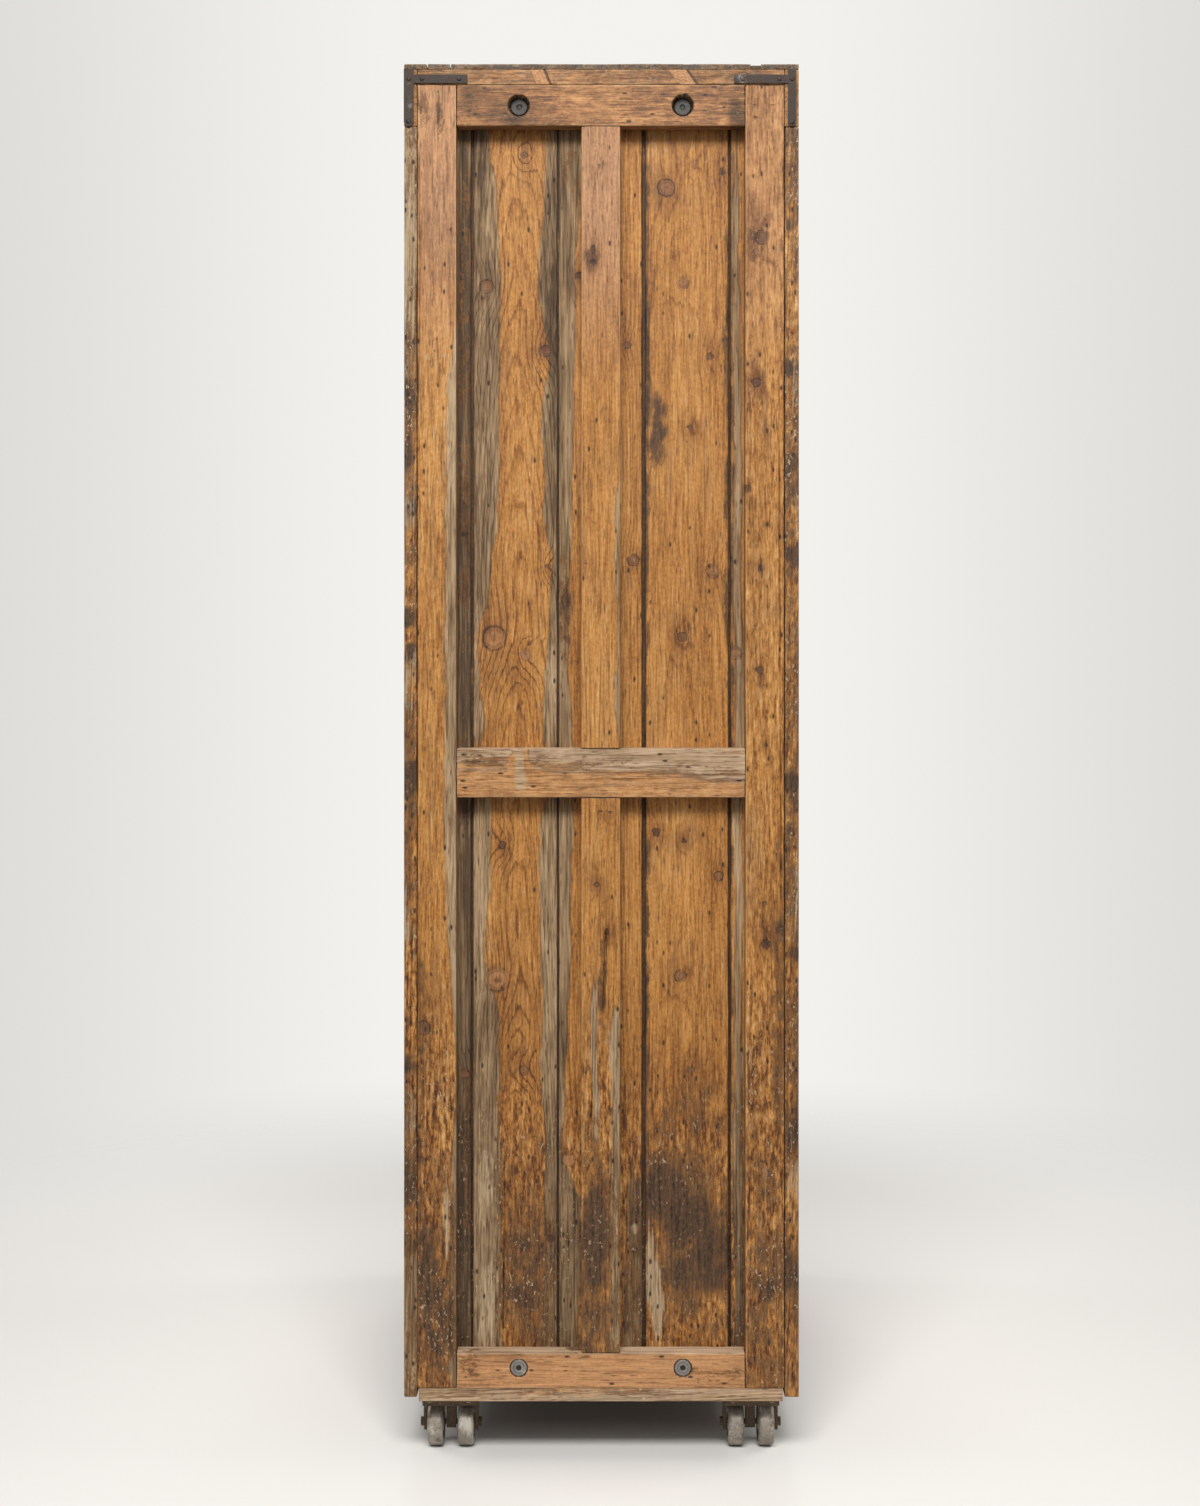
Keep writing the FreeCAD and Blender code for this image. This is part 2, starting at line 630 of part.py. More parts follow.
# Runners under both sides of every case, each with a stop block at the back
RUNNER_INNER = f"({INNER_FACE} - dims.runner_width)"
CASE_FRONT = FRAME_FRONT
CASE_BACK = f"({CASE_FRONT} + dims.case_length)"
STOP_BACK = f"({CASE_BACK} + dims.stop_length)"
runner_y = (f"{CASE_FRONT} + dims.case_front_thick + dims.runner_setback", STOP_BACK)
stop_z = ("0", "dims.stop_height")
runner_pieces = []
for end_name in ENDS:
    runner_x = outward(end_name, RUNNER_INNER, INNER_FACE)
    runner_pieces.append(box(f"{end_name} runner", runner_x, runner_y, ("-dims.runner_height", "0")))
    runner_pieces.append(box(f"{end_name} stop", runner_x, (CASE_BACK, STOP_BACK), stop_z))
case_levels = [f"dims.case_first + {step} * dims.case_pitch" for step in range(CASE_COUNT)]
runner_sets = [group("runner set", runner_pieces, ("0", "0", level)) for level in case_levels]
node(group("runners", runner_sets), "case_runners")

# One type case: front, two sides, back and bottom, with a knob and a card frame on the front
HALF_CASE = "(dims.case_width / 2)"
WALL_INNER = f"({HALF_CASE} - dims.case_wall)"
FRONT_INNER = f"({CASE_FRONT} + dims.case_front_thick)"
BACK_INNER = f"({CASE_BACK} - dims.case_wall)"
BOTTOM_HIGH = "(dims.case_bottom_rise + dims.case_bottom_thick)"
wall_z = ("dims.case_lift", "dims.case_wall_height")
bottom_reach = f"({WALL_INNER} + dims.case_groove)"
case_bottom = box(
    "case bottom",
    (f"-{bottom_reach}", bottom_reach),
    (f"{FRONT_INNER} - dims.case_groove", f"{BACK_INNER} + dims.case_groove"),
    ("dims.case_bottom_rise", BOTTOM_HIGH),
)
side_y = (f"{FRONT_INNER} - dims.case_housing", CASE_BACK)
side_x = {end: outward(end, WALL_INNER, HALF_CASE) for end in ENDS}
side_blanks = [box(f"{end} case side blank", side_x[end], side_y, wall_z) for end in ENDS]
case_sides = [cut("case side", blank, [case_bottom]) for blank in side_blanks]
back_blank = box("case back blank", (f"-{WALL_INNER}", WALL_INNER), (BACK_INNER, CASE_BACK), wall_z)
case_back = cut("case back", back_blank, [case_bottom])
CASE_FRONT_LOW = "(-dims.case_front_drop)"
CASE_FRONT_HIGH = f"({CASE_FRONT_LOW} + dims.case_front_height)"
front_z = (CASE_FRONT_LOW, CASE_FRONT_HIGH)
front_blank = box("case front blank", (f"-{HALF_CASE}", HALF_CASE), (CASE_FRONT, FRONT_INNER), front_z)
case_front = cut("case front", front_blank, side_blanks + [case_bottom])
FACE_MIDDLE = f"(({CASE_FRONT_LOW} + {CASE_FRONT_HIGH}) / 2)"
knob = turned(
    "knob pattern",
    [
        ("0", "0"),
        ("dims.knob_radius * 0.75", "0"),
        ("dims.knob_radius * 0.75", "dims.knob_depth * 0.12"),
        ("dims.knob_neck", "dims.knob_depth * 0.3"),
        ("dims.knob_neck", "dims.knob_depth * 0.5"),
        ("dims.knob_radius", "dims.knob_depth * 0.7"),
        ("dims.knob_radius", "dims.knob_depth * 0.82"),
        ("dims.knob_radius * 0.7", "dims.knob_depth * 0.97"),
        ("0", "dims.knob_depth"),
    ],
)
case_knob = group("case knob", [knob], ("0", CASE_FRONT, f"{FACE_MIDDLE} - dims.knob_drop"), ALONG["-y"])
card_middle = f"({FACE_MIDDLE} + dims.card_rise)"
card_y = (f"{CASE_FRONT} - dims.card_thick", CASE_FRONT)
card_x = ("-dims.card_width / 2", "dims.card_width / 2")
card_z = (f"{card_middle} - dims.card_height / 2", f"{card_middle} + dims.card_height / 2")
card_blank = box("card frame blank", card_x, card_y, card_z)
window_x = (f"{card_x[0]} + dims.card_border", f"{card_x[1]} - dims.card_border")
window_z = (f"{card_z[0]} + dims.card_border", card_z[1])
card_frame = cut("card frame", card_blank, [box("card window", window_x, card_y, window_z)])
dividers = []
for name, facing in ENDS.items():
    middle = f"{facing} * {WALL_INNER} / 3"
    divider_x = (f"{middle} - dims.divider_thick / 2", f"{middle} + dims.divider_thick / 2")
    divider_z = (BOTTOM_HIGH, "dims.case_wall_height")
    dividers.append(box(f"{name} divider", divider_x, (FRONT_INNER, BACK_INNER), divider_z))
case_pieces = [case_front, *case_sides, case_back, case_bottom, case_knob, card_frame]
for number, level in enumerate(reversed(case_levels), start=1):
    pieces = case_pieces + dividers if number <= DIVIDED_CASES else case_pieces
    node(group("case", pieces, ("0", "0", level)), f"type_case_{number:02d}")

# Twin-wheel caster about its kingpin: floor at zero, wheels trailing towards -X
CROWN_HIGH = "(dims.crown_low + dims.crown_thick)"
AXLE_X = "(-dims.caster_trail)"
AXLE_Z = "dims.wheel_radius"
PLATE_HIGH = "dims.caster_height"
PLATE_LOW = "(dims.caster_height - dims.plate_thick)"
leg_x = (f"{AXLE_X} - dims.fork_leg_half", f"{AXLE_X} + dims.fork_leg_half")
web_x = (leg_x[0], "-dims.fork_web_inner")
leg_spans = {
    "front leg": ("-dims.fork_half_width", "-dims.fork_half_width + dims.fork_leg_thick"),
    "web": ("-dims.fork_web_half", "dims.fork_web_half"),
    "back leg": ("dims.fork_half_width - dims.fork_leg_thick", "dims.fork_half_width"),
}
fork_y = ("-dims.fork_half_width", "dims.fork_half_width")
fork_parts = [box("crown", (leg_x[0], "dims.crown_nose"), fork_y, ("dims.crown_low", CROWN_HIGH))]
ARCH_LOW = "(dims.crown_low - dims.fork_arch)"


def arch_corner(label, upright_y, facing):
    """The filled upper corner of a wheel arch, rounded towards the wheel."""
    inner = f"({upright_y} + {facing} * dims.fork_arch)"
    span = (upright_y, inner) if facing > 0 else (inner, upright_y)
    block = box(f"{label} block", web_x, span, (ARCH_LOW, "dims.crown_low"))
    hollow_length = f"({web_x[1]}) - ({web_x[0]})"
    hollow = rod(f"{label} hollow", "dims.fork_arch", hollow_length, (web_x[0], inner, ARCH_LOW), "x")
    return cut(label, block, [hollow])


fork_parts.append(arch_corner("front leg arch", leg_spans["front leg"][1], 1))
fork_parts.append(arch_corner("web front arch", leg_spans["web"][0], -1))
fork_parts.append(arch_corner("web back arch", leg_spans["web"][1], 1))
fork_parts.append(arch_corner("back leg arch", leg_spans["back leg"][0], -1))
for name, span in leg_spans.items():
    upright_x = web_x if name == "web" else leg_x
    eye_radius = "dims.fork_web_eye" if name == "web" else "dims.fork_leg_half"
    eye_width = f"({span[1]}) - ({span[0]})"
    fork_parts.append(box(f"{name} upright", upright_x, span, (AXLE_Z, "dims.crown_low")))
    fork_parts.append(rod(f"{name} eye", eye_radius, eye_width, (AXLE_X, span[0], AXLE_Z), "y"))
axle_bore = rod(
    "axle bore",
    "dims.axle_radius + 2 * dims.axle_play",
    "2 * dims.fork_half_width",
    (AXLE_X, fork_y[0], AXLE_Z),
    "y",
)
kingpin_bore = rod(
    "kingpin bore",
    "dims.kingpin_radius + dims.axle_play",
    "dims.crown_thick",
    ("0", "0", "dims.crown_low"),
    "z",
)
fork = cut("caster fork", fuse("fork casting", fork_parts), [axle_bore, kingpin_bore])
nut_far = "(dims.fork_half_width + dims.axle_nut_thick)"
axle_start = (AXLE_X, f"-{nut_far}", AXLE_Z)
axle_rod = rod("axle rod", "dims.axle_radius", f"2 * {nut_far}", axle_start, "y")
axle_head = hexagon("axle head", "dims.axle_nut_radius", "dims.axle_nut_thick", axle_start, "y")
axle = fuse("axle bolt", [axle_rod, axle_head])
nut_start = (AXLE_X, "dims.fork_half_width", AXLE_Z)
nut_blank = hexagon("axle nut blank", "dims.axle_nut_radius", "dims.axle_nut_thick", nut_start, "y")
nut_bore = rod("axle nut bore", "dims.axle_radius + dims.swivel_gap", "dims.axle_nut_thick", nut_start, "y")
axle_nut = cut("axle nut", nut_blank, [nut_bore])

# Wheel about its own Z axis, dished on both faces
half_tread = "dims.wheel_width / 2"
BORE = "(dims.axle_radius + dims.axle_play)"
wheel = turned(
    "wheel pattern",
    [
        (BORE, "0"),
        ("dims.wheel_hub_radius", "0"),
        ("dims.wheel_hub_radius + 1", "dims.wheel_dish"),
        ("dims.wheel_rim_radius - 1", "dims.wheel_dish"),
        ("dims.wheel_rim_radius", "0"),
        ("dims.wheel_radius - dims.wheel_round", "0"),
        ("dims.wheel_radius - dims.wheel_round * 0.35", "dims.wheel_round * 0.35"),
        ("dims.wheel_radius", "dims.wheel_round"),
        ("dims.wheel_radius", "dims.wheel_width - dims.wheel_round"),
        ("dims.wheel_radius - dims.wheel_round * 0.35", "dims.wheel_width - dims.wheel_round * 0.35"),
        ("dims.wheel_radius - dims.wheel_round", "dims.wheel_width"),
        ("dims.wheel_rim_radius", "dims.wheel_width"),
        ("dims.wheel_rim_radius - 1", "dims.wheel_width - dims.wheel_dish"),
        ("dims.wheel_hub_radius + 1", "dims.wheel_width - dims.wheel_dish"),
        ("dims.wheel_hub_radius", "dims.wheel_width"),
        (BORE, "dims.wheel_width"),
    ],
)

# Fixed half of the caster: screwed plate with its race, and the kingpin that holds the fork up
plate_side = ("-dims.plate_side / 2", "dims.plate_side / 2")
plate_slab = box("caster plate slab", plate_side, plate_side, (PLATE_LOW, PLATE_HIGH))
race_low = f"({CROWN_HIGH} + dims.swivel_gap)"
race = rod("caster race", "dims.race_radius", f"{PLATE_LOW} - {race_low}", ("0", "0", race_low), "z")
race_bore = rod("race bore", "dims.race_bore", f"{PLATE_LOW} - {race_low}", ("0", "0", race_low), "z")
pin_bore = rod(
    "plate pin bore",
    "dims.kingpin_radius + dims.swivel_gap",
    "dims.plate_thick",
    ("0", "0", PLATE_LOW),
    "z",
)
screw_bores = []
screw_places = []
for x in ("-dims.screw_spread / 2", "dims.screw_spread / 2"):
    for y in ("-dims.screw_spread / 2", "dims.screw_spread / 2"):
        screw_places.append((x, y))
        bore = rod("screw bore", "dims.screw_hole_radius", "dims.plate_thick", (x, y, PLATE_LOW), "z")
        screw_bores.append(bore)
plate = cut("caster plate", fuse("plate casting", [plate_slab, race]), [race_bore, pin_bore, *screw_bores])
pin_base = "(dims.crown_low - dims.swivel_gap - dims.kingpin_head_thick)"
kingpin = turned(
    "kingpin pattern",
    [
        ("0", pin_base),
        ("dims.kingpin_head_radius * 0.7", pin_base),
        ("dims.kingpin_head_radius", f"{pin_base} + dims.kingpin_head_thick * 0.4"),
        ("dims.kingpin_head_radius", f"{pin_base} + dims.kingpin_head_thick"),
        ("dims.kingpin_radius", f"{pin_base} + dims.kingpin_head_thick"),
        ("dims.kingpin_radius", PLATE_HIGH),
        ("0", PLATE_HIGH),
    ],
)
screw_low = f"({PLATE_LOW} - dims.screw_head_thick)"
screw = turned(
    "caster screw pattern",
    [
        ("0", screw_low),
        ("dims.screw_head_radius * 0.6", screw_low),
        ("dims.screw_head_radius", PLATE_LOW),
        ("dims.screw_radius", PLATE_LOW),
        ("dims.screw_radius", f"{PLATE_HIGH} + dims.screw_bite - dims.screw_radius"),
        ("0", f"{PLATE_HIGH} + dims.screw_bite"),
    ],
)

# The four casters: the right-hand pair trail along the cabinet, the left-hand pair stand turned across it
KINGPIN_X = f"({END_FACE} - dims.kingpin_inset)"
CASTERS = {
    "front_right": (1, -1, 0),
    "back_right": (1, 1, 0),
    "front_left": (-1, -1, -90),
    "back_left": (-1, 1, 90),
}
plates = []
screws = []
for name, (x_side, y_side, turn) in CASTERS.items():
    at = (f"{x_side} * {KINGPIN_X}", f"{FRAME_MIDDLE} + {y_side} * dims.caster_spread / 2", "0")
    turn_rotation = FreeCAD.Rotation(FreeCAD.Vector(0, 0, 1), turn)
    plates.append(group(f"{name} plate", [plate, kingpin], at))
    for x, y in screw_places:
        screws.append(group("screw", [screw], (f"{at[0]} + {x}", f"{at[1]} + {y}", "0")))
    node(group("fork", [fork, axle, axle_nut], at, turn_rotation), f"caster_fork_{name}")
    for letter, offset in (("a", "-dims.wheel_offset"), ("b", "dims.wheel_offset")):
        seat = group("wheel seat", [wheel], (AXLE_X, f"{offset} - {half_tread}", AXLE_Z), ALONG["y"])
        node(group("wheel", [seat], at, turn_rotation), f"caster_wheel_{name}_{letter}")
node(group("plates", plates), "caster_plates")
node(group("screws", screws), "caster_screws")

doc.recompute()
os.makedirs("parts", exist_ok=True)
for made in doc.Objects:
    if {"Invalid", "Error"} & set(made.State):
        raise RuntimeError(f"{made.Label} did not compute: {made.State}")
for made in nodes:
    if made.Shape.isNull() or not made.Shape.isValid():
        raise RuntimeError(f"{made.Label} has no valid shape")
    solids = made.Shape.Solids
    shape = solids[0] if len(solids) == 1 else Part.makeCompound(solids)
    shape.exportStep(f"parts/{made.Label}.step")
    print(made.Label, len(solids), round(shape.Volume / 1000))
print(len(nodes), "sub-parts written")
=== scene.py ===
"""Looks of the printers' type cabinet: aged pine boards, rusty iron and worn casters in a pale studio."""

import itertools
import math
from types import SimpleNamespace

import bpy
import numpy as np
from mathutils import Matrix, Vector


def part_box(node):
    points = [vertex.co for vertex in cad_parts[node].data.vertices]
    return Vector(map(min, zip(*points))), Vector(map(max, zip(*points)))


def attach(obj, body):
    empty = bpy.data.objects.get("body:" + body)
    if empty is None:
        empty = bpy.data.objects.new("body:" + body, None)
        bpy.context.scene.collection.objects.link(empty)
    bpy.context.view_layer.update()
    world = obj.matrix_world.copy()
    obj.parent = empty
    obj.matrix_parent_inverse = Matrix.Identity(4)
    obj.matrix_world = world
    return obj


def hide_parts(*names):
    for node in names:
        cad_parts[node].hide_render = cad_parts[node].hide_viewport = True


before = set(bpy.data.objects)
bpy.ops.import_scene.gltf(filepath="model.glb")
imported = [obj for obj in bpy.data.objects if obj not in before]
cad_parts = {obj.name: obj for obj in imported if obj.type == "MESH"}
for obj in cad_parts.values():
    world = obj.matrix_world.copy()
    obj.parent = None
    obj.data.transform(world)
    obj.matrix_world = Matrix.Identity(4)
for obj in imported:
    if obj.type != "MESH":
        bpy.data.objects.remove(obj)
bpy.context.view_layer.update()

MM = 0.001
X, Y, Z = 0, 1, 2
LOW, HIGH = False, True
CABINET = "cabinet"

# The photograph: a level camera, square to the right-hand end of the cabinet
PHOTO_WIDTH = 1200
PHOTO_HEIGHT = 1506
CAMERA_AWAY = 3.3
CAMERA_HIGH = 1.232
PIXEL = 1.432 * MM
MIDDLE_PX = 601.5
HORIZON_PX = 600.0
SENSOR = 36.0
END_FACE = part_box("right_end_top_rail")[1][X]
BOARD_RECESS = END_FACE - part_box("right_end_boards")[1][X]


def photo_scale(recess):
    """Metres per photo pixel on a plane that lies this far behind the end face."""
    return PIXEL * (CAMERA_AWAY + recess) / CAMERA_AWAY


def across_at(px, recess=0.0):
    """The Y of a photo column on the end of the cabinet."""
    return (px - MIDDLE_PX) * photo_scale(recess)


def up_at(py, recess=0.0):
    """The Z of a photo row on the end of the cabinet."""
    return CAMERA_HIGH - (py - HORIZON_PX) * photo_scale(recess)


# Numbers: smooth steps and seeded noise
HASH_FACTORS = (73856093, 19349663, 83492791)
HASH_SEED_FACTOR = 2654435761
HASH_ROUNDS = ((15, 2246822519), (13, 3266489917))
HASH_LAST_SHIFT = 16
HASH_TOP = 0xFFFFFFFF
NOISE_OFFSET = 4096.0


def smooth(low, high, value):
    part = np.clip((value - low) / (high - low), 0.0, 1.0)
    return part * part * (3.0 - 2.0 * part)


def hashed(cells, seed):
    """A repeatable number from 0 to 1 for each whole-number cell."""
    mask = np.uint64(HASH_TOP)
    mixed = np.full(len(cells), seed * HASH_SEED_FACTOR & HASH_TOP, np.uint64)
    for column, factor in zip(cells.T, HASH_FACTORS):
        mixed ^= column.astype(np.uint64) * np.uint64(factor)
    mixed &= mask
    for shift, factor in HASH_ROUNDS:
        mixed = (mixed ^ (mixed >> np.uint64(shift))) * np.uint64(factor)
        mixed &= mask
    mixed ^= mixed >> np.uint64(HASH_LAST_SHIFT)
    return mixed.astype(float) / HASH_TOP


def noise(places, size, seed):
    """Smooth noise from 0 to 1 that changes over about `size` metres along each axis."""
    cell = places / np.asarray(size) + NOISE_OFFSET
    corner = np.floor(cell)
    part = smooth(0.0, 1.0, cell - corner)
    total = np.zeros(len(places))
    for step in itertools.product((0, 1), repeat=3):
        offset = np.array(step)
        weight = np.prod(np.where(offset, part, 1.0 - part), axis=1)
        total += weight * hashed(corner + offset, seed)
    return total


# Wood: a plank is a closed lattice of points with rounded, worn edges and notes on its grain and weather
CLOSEST_LINES = 0.12 * MM
RIM_LINES = np.array([0.0, 0.3, 0.75])
RIM_REACH = 1.3
HOLE_LINES = np.linspace(-1.25, 1.25, 27)
SPLIT_LINES = 9
ON_FACE = 1e-6
FIELD_REACH = 14 * MM
END_TAPER = 0.12
FAR_OFF = 80.0


def grid_lines(low, high, cell, radius, extra=()):
    """Lattice lines along one side: close at both edges, evenly spaced between, and at `extra`."""
    length = high - low
    edge = min(radius, length / 5.0)
    rim = RIM_LINES * edge
    inset = RIM_REACH * edge
    count = max(1, round((length - 2.0 * inset) / cell))
    inside = np.linspace(low + inset, high - inset, count + 1)
    kept = [value for value in extra if low + edge < value < high - edge]
    lines = np.unique(np.concatenate([low + rim, inside, kept]))
    lines = lines[np.concatenate([[True], np.diff(lines) > CLOSEST_LINES])]
    lines = lines[lines < high - edge]
    return np.concatenate([lines, np.sort(high - rim)])


def shell(lines):
    """Points and outward quads of the surface of a box lattice."""
    counts = [len(line) for line in lines]
    sides = []
    for axis, end in itertools.product(range(3), (0, -1)):
        index = [slice(None)] * 3
        index[axis] = end
        faces_out = (end == -1) != (axis == Y)
        sides.append((tuple(index), faces_out))
    surface = np.zeros(counts, bool)
    for index, _ in sides:
        surface[index] = True
    ids = np.zeros(counts, int)
    ids[surface] = np.arange(surface.sum())
    places = np.stack(np.meshgrid(*lines, indexing="ij"), -1)[surface]
    quads = []
    for index, faces_out in sides:
        sheet = ids[index]
        corners = [sheet[:-1, :-1], sheet[1:, :-1], sheet[1:, 1:], sheet[:-1, 1:]]
        faces = np.stack(corners, -1).reshape(-1, 4)
        quads.append(faces if faces_out else faces[:, ::-1])
    return places, np.concatenate(quads)


def strip_field(strips, s, t):
    """From 0 to 1, half at the edge, how far each point lies inside strips of (t, from s, to s) rows."""
    field = np.zeros(len(s))
    for rows in strips:
        heights, starts, ends = np.array(sorted(rows)).T
        low = np.interp(t, heights, starts)
        high = np.interp(t, heights, ends)
        from_end = np.minimum(t - heights[0], heights[-1] - t) * END_TAPER
        inside = np.minimum(np.minimum(s - low, high - s), from_end)
        field = np.maximum(field, np.clip(0.5 + inside / (2 * FIELD_REACH), 0.0, 1.0))
    return field


def oval_field(ovals, s, t):
    """How far each point lies inside soft ovals of (s, t, half width, half height, strength)."""
    field = np.zeros(len(s))
    for middle_s, middle_t, wide, high, strength in ovals:
        far = np.hypot((s - middle_s) / wide, (t - middle_t) / high)
        field = np.maximum(field, strength * (1.0 - smooth(0.25, 1.45, far)))
    return field


def split_depth(splits, s, t):
    """Depth of splits given as (rows of (t, s), half width, depth)."""
    depth = np.zeros(len(s))
    for rows, half_width, deep in splits:
        heights, middles = np.array(sorted(rows)).T
        from_end = np.minimum(t - heights[0], heights[-1] - t)
        wide = half_width * np.clip(from_end / (END_TAPER * np.ptp(heights)), 0.05, 1.0)
        from_middle = np.abs(s - np.interp(t, heights, middles))
        cleft = deep * (1.0 - smooth(0.4, 1.0, from_middle / wide))
        depth = np.maximum(depth, np.where(from_end > 0, cleft, 0.0))
    return depth


# Each noise on a plank: step of the seed, and how far it reaches across and along the grain
PLANK_NOISES = {
    "chips": (11, 9 * MM, 9 * MM),
    "wander": (12, 70 * MM, 70 * MM),
    "waves": (13, 35 * MM, 260 * MM),
    "sway": (14, 5.0, 0.35),
    "streaks": (15, 16 * MM, 420 * MM),
    "patches": (16, 60 * MM, 160 * MM),
    "fine_jitter": (17, 22 * MM, 22 * MM),
    "broad_jitter": (18, 90 * MM, 90 * MM),
}
NO_MARKS = {"knots": [], "grey": [], "dim": [], "stain": [], "bare": [], "splits": [], "holes": []}
PLAIN_LOOK = {
    # Lattice and shape
    "cell": 6 * MM,
    "radius": 1.5 * MM,
    "lean": None,
    # Rings of the tree, and where the pith lies beside, below and along the board
    "ring": 5.5 * MM,
    "pith": None,
    # Marks, and the two axes of the sheet that they lie on
    "marks": {},
    "sheet": (Y, Z),
    # Weather of the whole board, from 0 to 1, with the stain also carrying painted shade
    "grey": 0.0,
    "stain": 0.0,
    "pink": 0.0,
    "bright": 0.5,
    "pits": 0.3,
    "rings": 0.5,
    # Dirty joints, dust on top, painted shade on the underside, and how far weather reaches in from the
    # end of the cabinet
    "joints": (),
    "dusty": 0.0,
    "sooty": 0.0,
    "end_only": None,
}
# Rounding of edges in radii, with the most of it as a share of the thinnest side
LEAST_ROUND = 0.35
WANDER_ROUND = 0.9
CHIP_ROUND = 1.3
CHIPPED = (0.72, 0.95)
MOST_ROUND = 0.42
# Waves, splits and holes in the faces, with the most depth as a share of the board's
WAVE_DEEP = 0.5 * MM
MOST_SUNK = 0.7
# Pith of a board: how far aside as a share of the width, how many mm below the face, and its slope
PITH_ASIDE = (-0.3, 0.3)
PITH_BELOW = (10, 30)
PITH_SLOPE = (0.02, 0.05)
# Seeded starts, so that no two boards share their rings or fibres
RING_STARTS = 17
GRAIN_STARTS = 101
GRAIN_START_STEP = 0.731
SWAY = 9 * MM
FINE_JITTER = 5 * MM
BROAD_JITTER = 6 * MM
JITTER_ALONG = 3
# Stain value past 1 that paints holes and gaps near black as painted shade, and how far round a hole it
# reaches
PAINTED_SHADE_DARK = 2.0
HOLE_SHADE_REACH = 1.04
RUBBED_REACH = (0.3 * MM, 5 * MM)
JOINT_DIRT_REACH = (0.2 * MM, 3.4 * MM)
LOWER_PART_HEIGHTS = (0.36, 0.75)
DARKER_LOW = 0.15
PITTED_LOW = 0.62
SHELTERED = 0.7
STREAK_GREY_LEAST, STREAK_GREY = 0.4, 0.8
PATCH_STAIN_AND_SHADE_LEAST = 0.3
PATCH_BRIGHT = 0.35
DUST_BRIGHT = 0.4


